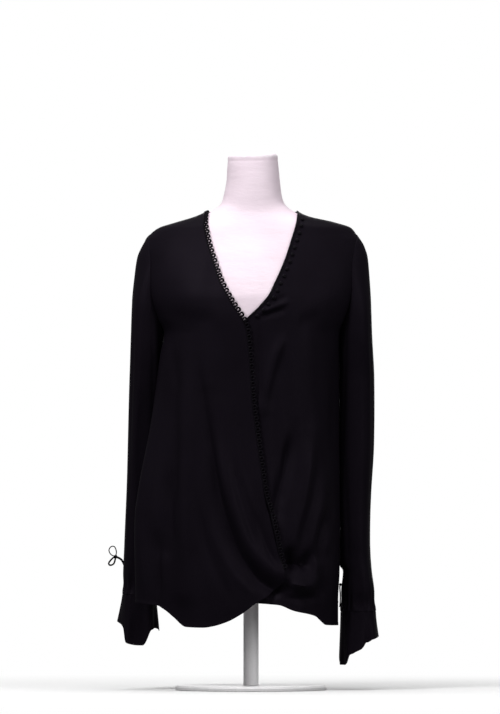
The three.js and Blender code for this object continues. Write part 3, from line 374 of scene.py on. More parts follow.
def body_point(angle, z, creased=True):
    angle, z = np.broadcast_arrays(np.asarray(angle, float), np.asarray(z, float))
    x, y = section_point(angle, body["right"](z), body["left"](z), body["front"](z), body["back"](z))
    fullest = np.exp(-(((y - SWELL_Y) / SWELL_REACH) ** 2))
    swell = body["swell"](z) * fullest * smooth(0, 110, -x) * smooth(660, 600, z)
    x = np.where(y < 0, x - swell, x)
    puff = PUFF["height"] * np.exp(
        -(((x - PUFF["x"]) / PUFF["half_width"]) ** 4) - ((z - PUFF["z"]) / PUFF["half_height"]) ** 4
    )
    front = fold_height(front_lines, x, z, 0) + puff
    back = fold_height(back_lines, x, z, 0)
    if creased:
        front = front + fold_height(front_creases, x, z, 1)
        back = back + fold_height(back_creases, x, z, 1)
    relief = np.where(y < 0, front, back)
    if creased:
        relief = relief + ripple(angle, z)
    relief = relief * smooth(0, 60, np.abs(y)) * smooth(826, 780, z)
    far = np.hypot(x, y)
    return np.stack([x + x / far * relief, y + y / far * relief, z], axis=-1)


def outward(surface, u, v, du, dv):
    along = surface(u + du, v) - surface(u - du, v)
    up = surface(u, v + dv) - surface(u, v - dv)
    return unit(np.cross(along, up))


def plain_point(angle, z):
    return body_point(angle, z, creased=False)


def body_normal(angle, z):
    """Direction out of the cloth, from its main folds alone."""
    return outward(plain_point, angle, z, 0.01, 1.5)


def angle_at(x, z):
    wide = np.where(np.asarray(x) < 0, body["right"](z), body["left"](z))
    share = np.minimum(1, np.abs(x) / wide)
    y = body["front"](z) * (1 - share**SQUARENESS) ** (1 / SQUARENESS)
    return np.arctan2(y, -np.asarray(x, float))


def right_layer(angle, z):
    angle, z = np.broadcast_arrays(np.asarray(angle, float), np.asarray(z, float))
    height = mix(LAYER, LOW_LAYER, smooth(600, 500, z)) * smooth(0.3, 0.9, angle) * smooth(815, 740, z)
    return body_point(angle, z) + body_normal(angle, z) * height[..., None]


def left_layer(angle, z):
    angle, z = np.broadcast_arrays(np.asarray(angle, float), np.asarray(z, float))
    p = body_point(angle, z)
    covered = smooth(-2, -26, p[..., 0] - right_edge(z)) * smooth(640, 560, z)
    deep = mix(LIGHTER, DEEPER, smooth(160, 260, z))
    return p - body_normal(angle, z) * (deep * covered)[..., None]


def armhole(side, turn, shrink):
    high = (SHOULDER_Z - UNDERARM_Z) / 2 - shrink
    z = (SHOULDER_Z + UNDERARM_Z) / 2 + high * np.cos(TAU * turn)
    s = np.sin(TAU * turn)
    y = -np.where(s > 0, ARMHOLE_FRONT - shrink, ARMHOLE_BACK - shrink) * s
    deep = np.where(y < 0, body["front"](z), body["back"](z))
    wide = body["right"](z) if side < 0 else body["left"](z)
    x = side * wide * (1 - (np.abs(y) / deep) ** SQUARENESS) ** (1 / SQUARENESS)
    return np.stack([x, y, z], axis=-1)


# Panels as grids of an angle and a height


def crowd(t):
    return t * t * (1.5 - t / 2)


def side_edge(side, front, t):
    gap = SEAM / 2
    inwards = 1 if (side < 0) == front else -1
    turn = np.minimum(0.5, 0.5 * t / ARM_SHARE)
    p = armhole(side, turn if front else 1 - turn, -gap)
    arm = np.arctan2(-p[..., 1], -p[..., 0])
    nudge = gap / np.hypot(p[..., 0], p[..., 1]) * np.where(turn < 0.02, 1, 0.2)
    if not front:
        arm = np.where(arm < 1e-9, arm + TAU, arm)
    arm = arm + inwards * nudge
    drop = (crowd(t) - crowd(ARM_SHARE)) / (1 - crowd(ARM_SHARE))
    seam = math.pi if side > 0 else (0 if front else TAU)
    low = seam + inwards * gap / SIDE_REACH
    on_arm = t < ARM_SHARE
    return np.where(on_arm, arm, low), np.where(on_arm, p[..., 2], mix(UNDERARM_Z - gap, SIDE_HEM_Z, drop))


def front_map(side, edge_x, hem_z, inset, end_z):
    def place(s, t):
        down = crowd(t)
        edge_z = mix(NECK_Z, end_z, down)
        slant = np.hypot(1, (edge_x(edge_z + 2) - edge_x(edge_z - 2)) / 4)
        away = inset * slant * smooth(NECK_Z, 814, edge_z)
        free = angle_at(edge_x(edge_z) + side * away, edge_z)
        outer, outer_z = side_edge(side, True, t)
        ease = SEAM / 2 / NECK_REACH
        seam = ease * (1 + 4 * t)
        middle = np.maximum(seam, free) if side < 0 else np.minimum(math.pi - seam, free)
        middle = np.where(t == 0, ease if side < 0 else math.pi - ease, middle)
        angle = mix(middle, outer, s)
        plain = mix(edge_z, outer_z, s)
        hem = hem_z(body_point(angle, np.full(np.shape(angle), 140.0))[..., 0])
        return angle, plain + (hem - mix(end_z, SIDE_HEM_Z, s)) * down**3

    return place


def back_top(s):
    rise = np.minimum(1, np.minimum(s, 1 - s) / NECK_SHARE)
    turn = np.clip((s - NECK_SHARE) / (1 - 2 * NECK_SHARE), 0, 1)
    neck = mix(NECK_Z, BACK_NECK_Z, np.sin(math.pi * turn) ** 0.5)
    z = np.where(rise < 1, mix(SHOULDER_Z, NECK_Z, rise), neck)
    return math.pi * (1 + turn), z


def back_map(s, t):
    gap = SEAM / 2 / NECK_REACH
    left, left_z = side_edge(1, False, t)
    right, _ = side_edge(-1, False, t)
    rim, rim_z = back_top(s)
    fade = (1 - smooth(0, 0.62, t)) ** 1.5
    angle = mix(left, right, s) + (rim - math.pi * (1 + s)) * fade
    angle = np.clip(angle, math.pi + gap, TAU - gap)
    return angle, left_z + (rim_z - SHOULDER_Z) * fade


# Meshes

SHARP_ANGLE = math.radians(50)  # cut edges stay crisp, everything softer is shaded smooth


def make_object(name, points, faces, material, slot, nodes):
    mesh = bpy.data.meshes.new(name)
    mesh.from_pydata([tuple(p) for p in np.asarray(points) * MM], [], faces)
    mesh.validate()
    mesh.update()
    piece = bpy.data.objects.new(name, mesh)
    bpy.context.scene.collection.objects.link(piece)
    mesh.polygons.foreach_set("use_smooth", [True] * len(mesh.polygons))
    mesh.set_sharp_from_angle(angle=SHARP_ANGLE)
    mesh.materials.append(material)
    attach(piece, "root")
    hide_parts(*nodes)
    return piece


def wall_faces(rows, across, joined):
    """Quads of a closed wall: outer points first, then the inner ones."""
    count = rows * across
    spans = across if joined else across - 1

    def at(i, j):
        return i * across + j % across

    faces = []
    for i in range(rows - 1):
        for j in range(spans):
            a, b, c, d = at(i, j), at(i + 1, j), at(i + 1, j + 1), at(i, j + 1)
            faces.append((a, b, c, d))
            faces.append((count + a, count + d, count + c, count + b))
    rims = [(at(0, j), at(0, j + 1)) for j in range(spans)]
    rims += [(at(rows - 1, j + 1), at(rows - 1, j)) for j in range(spans)]
    if not joined:
        rims += [(at(i + 1, 0), at(i, 0)) for i in range(rows - 1)]
        rims += [(at(i, across - 1), at(i + 1, across - 1)) for i in range(rows - 1)]
    faces += [(a, b, count + b, count + a) for a, b in rims]
    return faces


def signed_volume(points, faces):
    p = np.asarray(points, float)
    total = 0.0
    for size in {len(face) for face in faces}:
        group = np.array([face for face in faces if len(face) == size])
        a = p[group[:, 0]]
        for k in range(1, size - 1):
            total += float(np.sum(a * np.cross(p[group[:, k]], p[group[:, k + 1]])))
    return total


def face_out(points, faces):
    if signed_volume(points, faces) < 0:
        return [tuple(reversed(face)) for face in faces]
    return faces


def wall_object(name, node, outer, inner, joined):
    points = np.concatenate([outer.reshape(-1, 3), inner.reshape(-1, 3)])
    faces = face_out(points, wall_faces(*outer.shape[:2], joined))
    return make_object(name, points, faces, crepe, "crepe", [node])


def hem_ridge(outer, normals):
    """A narrow turned hem: the last rows stand a little proud, with a groove above them."""
    drop = np.linalg.norm(np.diff(outer[::-1], axis=0), axis=-1)
    along = np.concatenate([np.zeros((1, outer.shape[1])), np.cumsum(drop, axis=0)])[::-1]
    ridge = 0.35 * smooth(5.0, 4.0, along) - 0.3 * np.exp(-(((along - 5.2) / 0.9) ** 2))
    return outer + normals * ridge[..., None]


def panel(name, node, surface, place, across, along, flip=False, tail=12):
    rows = np.concatenate([np.linspace(0, 0.97, along), 0.97 + 0.03 * np.linspace(0, 1, tail)[1:]])
    s, t = np.meshgrid(np.linspace(0, 1, across), rows)
    angle, z = place(1 - s if flip else s, t)
    n = body_normal(angle, z)
    outer = hem_ridge(surface(angle, z), n)
    return wall_object(name, node, outer, outer - n * WALL, False)


# Materials. Each grain moves between a darker and a lighter colour

CREPE_SHADES = (0.0050, 0.0038, 0.0060), (0.0065, 0.0050, 0.0079)
SATIN_SHADES = (0.0034, 0.0027, 0.0041), (0.0054, 0.0043, 0.0064)
JERSEY_SHADES = (0.83, 0.70, 0.78), (0.89, 0.76, 0.84)
# Painted highlight: the paler colour given to the top of the neck
JERSEY_TOP_HIGHLIGHT = (0.93, 0.86, 0.91)
PAINT_SHADES = (0.84, 0.83, 0.84), (0.88, 0.87, 0.88)
HIGHLIGHT_FROM_Z = 0.922  # metres: from about here up the neck's turned edge is painted paler, a painted highlight where the top light falls


def node_material(name):
    material = bpy.data.materials.new(name)
    material.use_nodes = True
    return material, material.node_tree, material.node_tree.nodes["Principled BSDF"]


def put(node, **values):
    """Constants on a node's own sockets, by their names with _ for a space."""
    for name, value in values.items():
        node.inputs[name.replace("_", " ")].default_value = value


def object_place(tree):
    return tree.nodes.new("ShaderNodeTexCoord").outputs["Object"]


def add_bump(tree, shader, height, strength, distance):
    bump = tree.nodes.new("ShaderNodeBump")
    put(bump, Strength=strength, Distance=distance)
    tree.links.new(height, bump.inputs["Height"])
    tree.links.new(bump.outputs["Normal"], shader.inputs["Normal"])


def noise(tree, coordinates, scale, detail, roughness=0.5, stretch=None):
    texture = tree.nodes.new("ShaderNodeTexNoise")
    put(texture, Scale=scale, Detail=detail, Roughness=roughness)
    source = coordinates
    if stretch:
        mapping = tree.nodes.new("ShaderNodeMapping")
        mapping.inputs["Scale"].default_value = stretch
        tree.links.new(source, mapping.inputs["Vector"])
        source = mapping.outputs["Vector"]
    tree.links.new(source, texture.inputs["Vector"])
    return texture.outputs["Fac"]


def ramp(tree, source, low, high, start=0.3, end=0.7):
    node = tree.nodes.new("ShaderNodeValToRGB")
    node.color_ramp.elements[0].position = start
    node.color_ramp.elements[0].color = (*low, 1)
    node.color_ramp.elements[1].position = end
    node.color_ramp.elements[1].color = (*high, 1)
    tree.links.new(source, node.inputs["Fac"])
    return node.outputs["Color"]


def maths(tree, operation, a, b):
    node = tree.nodes.new("ShaderNodeMath")
    node.operation = operation
    for socket, value in zip(node.inputs, (a, b)):
        if isinstance(value, (int, float)):
            socket.default_value = value
        else:
            tree.links.new(value, socket)
    return node.outputs["Value"]


def crepe_material():
    """Near-black crepe with a violet cast, a pebbled grain and a faint sheen."""
    material, tree, shader = node_material("crepe_black")
    place = object_place(tree)
    cloudy = noise(tree, place, 9, 3)
    tree.links.new(ramp(tree, cloudy, *CREPE_SHADES), shader.inputs["Base Color"])
    grain = noise(tree, place, 1500, 2, 0.6)
    threads = noise(tree, place, 900, 1, 0.5, (1, 1, 0.25))
    rough = ramp(tree, grain, (0.44, 0.44, 0.44), (0.56, 0.56, 0.56))
    tree.links.new(rough, shader.inputs["Roughness"])
    put(shader, Specular_IOR_Level=0.03, Specular_Tint=(0.92, 0.76, 1.0, 1))
    put(shader, Sheen_Weight=0.002, Sheen_Roughness=0.45, Sheen_Tint=(0.86, 0.66, 0.95, 1))
    height = maths(tree, "ADD", maths(tree, "MULTIPLY", grain, 0.7), maths(tree, "MULTIPLY", threads, 0.5))
    add_bump(tree, shader, height, 0.3, 0.0003)
    return material


def satin_material():
    """Black satin of the cords, bindings and buttons, with a fine grain."""
    material, tree, shader = node_material("satin_black")
    place = object_place(tree)
    fine = noise(tree, place, 700, 2)
    tree.links.new(ramp(tree, fine, *SATIN_SHADES), shader.inputs["Base Color"])
    put(shader, Roughness=0.36, Specular_IOR_Level=0.03)
    put(shader, Sheen_Weight=0.001, Sheen_Tint=(0.85, 0.75, 0.95, 1))
    add_bump(tree, shader, fine, 0.3, 0.0002)
    return material


def jersey_material():
    """Pale jersey drawn over the form, with fine cross wrinkles, a knit grain and a painted highlight on the
    neck's top.
    """
    material, tree, shader = node_material("jersey_pale")
    place = object_place(tree)
    cloudy = noise(tree, place, 14, 4)
    plain = ramp(tree, cloudy, *JERSEY_SHADES)
    height_of = tree.nodes.new("ShaderNodeSeparateXYZ")
    tree.links.new(place, height_of.inputs["Vector"])
    wander = maths(tree, "MULTIPLY", noise(tree, place, 70, 2), 0.012)
    # Painted highlight: above a wavering height the neck's top turns paler
    lit_top = maths(tree, "GREATER_THAN", maths(tree, "ADD", height_of.outputs["Z"], wander), HIGHLIGHT_FROM_Z)
    blend = tree.nodes.new("ShaderNodeMixRGB")
    tree.links.new(maths(tree, "MULTIPLY", lit_top, 0.7), blend.inputs["Fac"])
    tree.links.new(plain, blend.inputs["Color1"])
    blend.inputs["Color2"].default_value = (*JERSEY_TOP_HIGHLIGHT, 1)
    tree.links.new(blend.outputs["Color"], shader.inputs["Base Color"])
    put(shader, Roughness=0.85, Sheen_Weight=0.05)
    wrinkles = noise(tree, place, 60, 3, 0.55, (0.5, 0.5, 1.6))
    knit = noise(tree, place, 1600, 1)
    height = maths(tree, "ADD", maths(tree, "MULTIPLY", wrinkles, 2.2), maths(tree, "MULTIPLY", knit, 0.3))
    add_bump(tree, shader, height, 0.4, 0.0011)
    return material


def paint_material():
    """White satin paint of the pole and base, with a faint orange peel."""
    material, tree, shader = node_material("paint_white")
    place = object_place(tree)
    peel = noise(tree, place, 400, 2)
    tree.links.new(ramp(tree, peel, *PAINT_SHADES), shader.inputs["Base Color"])
    put(shader, Roughness=0.42)
    add_bump(tree, shader, peel, 0.08, 0.0004)
    return material


crepe, satin, jersey, paint = crepe_material(), satin_material(), jersey_material(), paint_material()

# Fronts and back

right_place = front_map(-1, right_edge, right_hem, EDGE_EASE, GATHER_Z)
left_place = front_map(1, left_edge, left_hem, EDGE_EASE, LEFT_END_Z)
right_front = panel("RightFront", "right_front", right_layer, right_place, 100, 190)
left_front = panel("LeftFront", "left_front", left_layer, left_place, 90, 170, flip=True)
back = panel("Back", "back", body_point, back_map, 141, 150)

# Sleeves


def sleeve_shape(rows, side, wrist_z):
    at = table(rows, SLEEVE_COLUMNS)

    def tube(turn, z):
        c, s = np.cos(TAU * turn), np.sin(TAU * turn)
        power = 2 / (2 + FLATTER * smooth(740, 600, z))
        c, s = np.sign(c) * np.abs(c) ** power, np.sign(s) * np.abs(s) ** power
        middle = (at["outer"](z) + at["inner"](z)) / 2
        half = (at["outer"](z) - at["inner"](z)) / 2
        return np.stack([side * (middle + half * c), at["middle"](z) - at["half"](z) * s, z + 0 * s], axis=-1)

    def surface(turn, t):
        start = armhole(side, turn, -SEAM)
        start[..., 0] -= side * SLEEVE_TUCK
        z = mix(start[..., 2], wrist_z, crowd(t))
        hold = (1 - smooth(0, ARMHOLE_HOLD, t)) ** 1.4
        return tube(turn, z) + (start - tube(turn, start[..., 2])) * hold[..., None]

    return tube, surface


def sleeve_relief(turn, z, wrist_z, phase):
    """Soft creases, and cloth drawn in and gathered just above the wrist seam."""
    total = np.zeros(np.shape(turn))
    for row in SLEEVE_CREASES:
        crease = dict(zip(SLEEVE_CREASE_COLUMNS, row))
        off = turn + phase - crease["turn"] - crease["lean"] * (z - crease["z"]) / 100
        off = (off + 0.5) % 1 - 0.5
        reach = np.exp(-((off / crease["wide"]) ** 2) - ((z - crease["z"]) / crease["tall"]) ** 2)
        total -= 0.75 * crease["depth"] * reach
    above = z - wrist_z
    uneven = 1.3 * np.sin(TAU * turn * 3)
    wave = np.sin(TAU * (turn + phase) * WRIST_GATHERS + uneven) + 0.4 * np.sin(TAU * turn * 9 + 2)
    total -= GATHER_HEIGHT * wave * np.exp(-above / GATHER_FADE) * smooth(-1, 8, above)
    total -= WRIST_DRAW * np.exp(-(((above - 16) / 13) ** 2)) - 0.6 * np.exp(-((above / 4.0) ** 2))
    return total * smooth(770, 700, z)


def clear_of_body(points, t):
    """The side of a sleeve that hangs against the body follows it at a small distance."""
    x, y, z = points[..., 0], points[..., 1], points[..., 2]
    near = body_point(np.arctan2(-y, -x) % TAU, z)
    far = np.hypot(x, y)
    short = np.maximum(0, np.hypot(near[..., 0], near[..., 1]) + SLEEVE_CLEAR - far) * smooth(0, 0.012, t)
    return points + np.stack([x, y, 0 * z], axis=-1) * (short / far)[..., None]


def sleeve(name, node, shape, side, wrist_z, phase, across=132, along=150):
    surface = shape[1]
    t, k = np.meshgrid(np.linspace(0, 1, along), np.arange(across), indexing="ij")
    turn = (k if side > 0 else across - k) / across
    step = 0.004
    p = surface(turn, t)
    round_it = surface(turn + step, t) - surface(turn - step, t)
    down = surface(turn, np.minimum(1, t + step)) - surface(turn, np.maximum(0, t - step))
    n = unit(np.cross(round_it, down) * side)
    relief = sleeve_relief(turn, p[..., 2], wrist_z, phase)
    full = WALL * smooth(0, 0.03, t) + relief * smooth(0, 0.02, t)
    outer = clear_of_body(p + n * full[..., None], t)
    inner = outer - n * WALL
    middle = np.array([0, 0, (SHOULDER_Z + UNDERARM_Z) / 2]) - p[0] * np.array([0, 1, 1])
    inner[0] = p[0] + unit(middle) * WALL
    return wall_object(name, node, outer, inner, True)


right_shape = sleeve_shape(RIGHT_SLEEVE, -1, RIGHT_WRIST_Z)
left_shape = sleeve_shape(LEFT_SLEEVE, 1, LEFT_WRIST_Z)
right_sleeve = sleeve("RightSleeve", "right_sleeve", right_shape, -1, RIGHT_WRIST_Z, 0.0)
left_sleeve = sleeve("LeftSleeve", "left_sleeve", left_shape, 1, LEFT_WRIST_Z, 0.37)


def cuff(name, node, shape, rows, side, wrist_z, phase, across=168, along=34):
    at = table(rows, CUFF_COLUMNS)
    tube = shape[0]
    down, k = np.meshgrid(np.linspace(0, 1, along), np.arange(across), indexing="ij")
    turn = (k if side > 0 else across - k) % across / across
    top = tube(turn, np.full(turn.shape, float(wrist_z)))
    ends = tube(np.array([0.0, 0.25, 0.5, 0.75]), np.full(4, float(wrist_z)))
    middle = np.array([(ends[0, 0] + ends[2, 0]) / 2, (ends[1, 1] + ends[3, 1]) / 2, 0])
    radial = unit((top - middle) * np.array([1, 1, 0]))
    wave = np.sin(TAU * turn * CUFF_WAVES + phase)
    wave += 0.5 * np.sin(TAU * turn * (CUFF_WAVES + 4) + 2 * phase)
    out = at["flare"](turn) * down + CUFF_WAVE_HEIGHT * wave * down**1.5
    gathers = np.sin(TAU * turn * WRIST_GATHERS + phase)
    out += 0.8 * gathers * np.exp(-down * 5) * smooth(0, 0.06, down)
    outer = top * np.array([1, 1, 0]) + radial * out[..., None]
    outer[..., 2] = mix(wrist_z - SEAM, at["z"](turn), down)
    return wall_object(name, node, outer, outer - radial * WALL, True)


right_cuff = cuff("RightCuff", "right_cuff", right_shape, RIGHT_CUFF, -1, RIGHT_WRIST_Z, 0.8)
left_cuff = cuff("LeftCuff", "left_cuff", left_shape, LEFT_CUFF, 1, LEFT_WRIST_Z, 2.1)

# Edges: a moving frame along an edge of a front. A place on an edge is its height, and above
# the edge's tip it is the way run from there to the shoulder seam


def edge_spot(edge_x, side, place):
    t = np.clip((np.asarray(place, float) - EDGE_TIP_Z) / SHOULDER_RUN, 0, 1)
    z = np.minimum(place, EDGE_TIP_Z) + t * (NECK_Z - EDGE_TIP_Z)
    shoulder = 0.02 if side < 0 else math.pi - 0.02
    return mix(angle_at(edge_x(z), z), shoulder, t), z


def edge_frame(surface, edge_x, side, z):
    def at(height):
        return surface(*edge_spot(edge_x, side, height))

    z = np.asarray(z, float)
    p = at(z)
    along = unit(at(z - 1) - at(z + 1))
    n = body_normal(*edge_spot(edge_x, side, z))
    n = unit(n - along * np.sum(n * along, axis=-1, keepdims=True))
    return p, along, n, np.cross(along, n) * side


def even_steps(surface, edge_x, side, from_z, to_z, pitch):
    zs = np.arange(from_z, to_z, -0.5)
    points = surface(*edge_spot(edge_x, side, zs))
    travelled = np.concatenate([[0], np.cumsum(np.linalg.norm(np.diff(points, axis=0), axis=-1))])
    marks = np.arange(0.5, travelled[-1] / pitch, 1) * pitch
    return [float(zs[np.searchsorted(travelled, mark)]) for mark in marks]


def section_tube(centres, normals, sides_out, profile):
    """A capped tube: profile points (out of the cloth, sideways) carried along the centres."""
    rows = len(centres)
    count = len(profile)
    points, faces = [], []
    for c, n, a in zip(centres, normals, sides_out):
        for out, sideways in profile:
            points.append(c + n * out + a * sideways)
    for i in range(rows - 1):
        for k in range(count):
            a, b = i * count + k, i * count + (k + 1) % count
            faces.append((a, b, b + count, a + count))
    faces.append(tuple(range(count - 1, -1, -1)))
    faces.append(tuple((rows - 1) * count + k for k in range(count)))
    return points, faces


def joined(parts):
    points, faces = [], []
    for part_points, part_faces in parts:
        base = len(points)
        points += list(part_points)
        faces += [tuple(base + i for i in face) for face in face_out(part_points, part_faces)]
    return points, faces


def rounded_profile(width, thick, steps=4):
    """A flat strip's section with round edges, middle at the origin."""
    points = []
    radius = thick / 2
    for end in (1, -1):
        for i in range(steps + 1):
            turn = math.pi * (i / steps - 0.5)
            sideways = width / 2 - radius + radius * math.cos(turn)
            points.append((radius * math.sin(turn) * end, end * sideways))
    return points


def circle_profile(radius, sides=10):
    return [(radius * math.cos(TAU * k / sides), radius * math.sin(TAU * k / sides)) for k in range(sides)]


def edge_strip(surface, edge_x, side, heights, width, thick, lift):
    p, _, n, away = edge_frame(surface, edge_x, side, heights)
    centres = p - away * width / 2 + n * lift
    return section_tube(centres, n, away, rounded_profile(width, thick))


def loop_ring(p, along, n, away):
    """One open rouleau loop, its ends sewn into the strip."""
    middle = p + away * LOOP_RADIUS * LOOP_AWAY - n * LOOP_SUNK
    turns = np.linspace(-LOOP_SWEEP, LOOP_SWEEP, 23)
    radials = [away * math.cos(turn) + along * math.sin(turn) for turn in turns]
    centres = [middle + radial * LOOP_RADIUS for radial in radials]
    return section_tube(centres, [n] * len(turns), radials, circle_profile(LOOP_CORD / 2, 10))


def satin_piece(name, node, parts):
    make_object(name, *joined(parts), satin, "satin_trim", [node])


trim_steps = even_steps(right_layer, right_edge, -1, SEAM_PLACE, TRIM_END_Z, STRIP_STEP)
trim_heights = [SEAM_PLACE, *trim_steps, TRIM_END_Z]
trim_parts = [edge_strip(right_layer, right_edge, -1, trim_heights, TRIM_WIDTH, TRIM_THICK, TRIM_LIFT)]
loop_heights = even_steps(right_layer, right_edge, -1, SEAM_PLACE, TRIM_END_Z, LOOP_PITCH)
for loop_frame in zip(*edge_frame(right_layer, right_edge, -1, loop_heights)):
    trim_parts.append(loop_ring(*loop_frame))
satin_piece("LoopTrim", "loop_trim", trim_parts)

binding_steps = even_steps(left_layer, left_edge, 1, SEAM_PLACE, BINDING_END_Z, STRIP_STEP)
binding_heights = [SEAM_PLACE, *binding_steps, BINDING_END_Z]
left_strip = edge_strip(left_layer, left_edge, 1, binding_heights, BINDING_WIDTH, BINDING_THICK, BINDING_LIFT)
satin_piece("LeftNeckBinding", "left_neck_binding", [left_strip])


def back_binding():
    share = np.linspace(BACK_BINDING_EASE, 1 - BACK_BINDING_EASE, 64)
    angle = math.pi * (1 + share)
    low = mix(NECK_Z, BACK_NECK_Z, np.sin(math.pi * share) ** 0.5)
    z = low - BACK_BINDING_LAP + BINDING_WIDTH / 2
    n = body_normal(angle, z)
    up = unit(body_point(angle, z + 1) - body_point(angle, z - 1))
    centres = body_point(angle, z) + n * BACK_BINDING_LIFT
    return section_tube(centres, n, up, rounded_profile(BINDING_WIDTH, BACK_BINDING_THICK))


satin_piece("BackNeckBinding", "back_neck_binding", [back_binding()])

# Covered buttons


def lathe(profile, centre, axis, sides=28):
    axis = Vector([float(v) for v in axis])
    turn = axis.to_track_quat("Z", "Y")
    points, faces = [], []
    for radius, height in profile[1:-1]:
        for k in range(sides):
            around = TAU * k / sides
            spot = turn @ Vector((radius * math.cos(around), radius * math.sin(around), height))
            points.append(np.array(centre) + np.array(spot))
    rows = len(profile) - 2
    low, high = len(points), len(points) + 1
    for end in (profile[0], profile[-1]):
        points.append(np.array(centre) + np.array(turn @ Vector((0, 0, end[1]))))
    for i in range(rows - 1):
        for k in range(sides):
            a, b = i * sides + k, i * sides + (k + 1) % sides
            faces.append((a, b, b + sides, a + sides))
    for k in range(sides):
        nxt = (k + 1) % sides
        faces.append((low, nxt, k))
        faces.append((high, (rows - 1) * sides + k, (rows - 1) * sides + nxt))
    return points, faces


def button_profile():
    radius, height = BUTTON_DIAMETER / 2, BUTTON_HEIGHT
    dome = [(0, 0), (radius * 0.62, 0), (radius * 0.86, height * 0.12), (radius * 0.97, height * 0.28)]
    for i in range(1, 8):
        turn = math.pi / 2 * i / 8
        dome.append((radius * math.cos(turn), height * (0.32 + 0.68 * math.sin(turn))))
    return [*dome, (0, height)]


button_heights = even_steps(body_point, left_edge, 1, BUTTON_TOP_Z, BUTTON_END_Z, BUTTON_PITCH)
for number, button_z in enumerate(button_heights[:BUTTON_COUNT], 1):
    slant = math.hypot(1, float(left_edge(button_z + 2) - left_edge(button_z - 2)) / 4)
    button_angle = angle_at(left_edge(button_z) + (BINDING_WIDTH + BUTTON_INSET) * slant, button_z)
    seat = body_point(button_angle, button_z)
    facing = body_normal(button_angle, button_z)
    dome = lathe(button_profile(), seat + facing * BUTTON_LIFT, facing)
    satin_piece(f"Button{number:02d}", f"button_{number:02d}", [dome])

# Rouleau ties


def smooth_path(points, steps):
    """Points on a curve through the given ones."""
    p = [np.array(q, float) for q in points]
    p = [2 * p[0] - p[1], *p, 2 * p[-1] - p[-2]]
    out = []
    for i in range(1, len(p) - 2):
        for k in range(steps):
            t = k / steps
            out.append(0.5 * (2 * p[i] + (p[i + 1] - p[i - 1]) * t
                              + (2 * p[i - 1] - 5 * p[i] + 4 * p[i + 1] - p[i + 2]) * t**2
                              + (3 * p[i] - p[i - 1] - 3 * p[i + 1] + p[i + 2]) * t**3))
    out.append(p[-2])
    return np.array(out)


def cord_tube(points, radius):
    path = smooth_path(points, 6)
    tangent = unit(np.gradient(path, axis=0))
    side = unit(np.cross(tangent, np.array([0.0, 1.0, 0.05])))
    return section_tube(path, np.cross(side, tangent), side, circle_profile(radius, 10))


def knot_ball(centre, radius):
    profile = [(0, -radius)]
    for i in range(1, 8):
        turn = math.pi * (i / 8 - 0.5)
        profile.append((radius * math.cos(turn), radius * math.sin(turn)))
    return lathe([*profile, (0, radius)], centre, (0.3, 0.2, 1), 16)


# Each tie: where on the sleeve, its knot and the knot's radius, then its cords with their radii.
# Y is counted from the sleeve's middle

RIGHT_TIE = {
    "turn": 0.0, "z": 222.0, "knot": (-233.5, 0, 228.5), "knot_radius": 3.4,
    "cords": [
        (1.9, [(-216.5, 0, 205), (-218.4, -0.5, 214), (-222.6, 0, 222.5), (-228, 0, 226.5), "knot"]),
        (0.95, ["knot", (-232, -1.5, 237), (-235, -2, 245.5), (-241, -1, 246), (-244.8, 0, 240),
                (-241.5, 1, 232.5), "knot"]),
        (1.5, ["knot", (-238.5, -2, 226), (-245, -2, 218), (-243, 0, 214), (-237, 2, 216),
               (-234.5, 1, 222), "knot"]),
    ],
}
LEFT_TIE = {
    "turn": 0.5, "z": 181.0, "knot": (154, -6, 181), "knot_radius": 2.5,
    "cords": [
        (TIE_RADIUS, [(156.6, 2, 181), (155.2, -2, 181), "knot"]),
        (TIE_RADIUS, ["knot", (153, -10, 176), (153.8, -15, 162), (153.4, -16, 147), (152.6, -14, 143)]),
    ],
}


def tie(rows, shape):
    middle_y = float(shape[0](np.array(rows["turn"]), np.array(rows["z"]))[1])

    def spot(row):
        x, y, z = rows["knot"] if row == "knot" else row
        return x, middle_y + y, z

    cords = [cord_tube([spot(row) for row in points], radius) for radius, points in rows["cords"]]
    return [knot_ball(spot("knot"), rows["knot_radius"]), *cords]


satin_piece("RightTie", "right_tie", tie(RIGHT_TIE, right_shape))
satin_piece("LeftTie", "left_tie", tie(LEFT_TIE, left_shape))

# Dress form, pole and base

FORM_TOP_Z, FORM_BOTTOM_Z = 924, 195
NECK_HEM_Z = 917  # middle of the turned edge of the jersey on the neck
HEM_GROOVE_Z = 910  # and of the groove below it
NECK_TILT = 0.03  # the neck's top rises to the wearer's left
RIM_ROUNDING = 4.2


def dress_form(across=144, step=3.0):
    fine_end = 896
    fine, coarse = np.arange(FORM_TOP_Z, fine_end, -1.0), np.arange(fine_end, FORM_BOTTOM_Z, -step)
    zs = np.concatenate([fine, coarse, [FORM_BOTTOM_Z]])
    angle = TAU * np.arange(across) / across
    points, faces = [], []
    for z in zs:
        half = float(form["half"](z))
        x, y = section_point(angle, half, half, float(form["front"](z)), float(form["back"](z)))
        uneven = 0.25 * np.sin(5 * angle + 0.6) + 0.2 * np.sin(11 * angle)
        hem = (0.5 + uneven) * math.exp(-(((z - NECK_HEM_Z) / 4.0) ** 2))
        hem = hem - 0.3 * math.exp(-(((z - HEM_GROOVE_Z) / 2.0) ** 2))
        grow = 1 + (hem - RIM_ROUNDING * float(smooth(NECK_HEM_Z, 925, z)) ** 1.5) / np.hypot(x, y)
        lift = NECK_TILT * float(smooth(896, 922, z))
        for px, py, g in zip(x, y, grow):
            points.append(np.array([px * g + float(form["middle"](z)), py * g, z + lift * px]))
    rows = len(zs)
    points.append(np.array([float(form["middle"](FORM_TOP_Z)), 0, FORM_TOP_Z + 0.4]))
    points.append(np.array([0, 0, FORM_BOTTOM_Z]))
    for i in range(rows - 1):
        for j in range(across):
            a, b = i * across + j, i * across + (j + 1) % across
            faces.append((a, a + across, b + across, b))
    end = (rows - 1) * across
    for j in range(across):
        nxt = (j + 1) % across
        faces.append((rows * across, j, nxt))
        faces.append((rows * across + 1, end + nxt, end + j))
    return points, faces


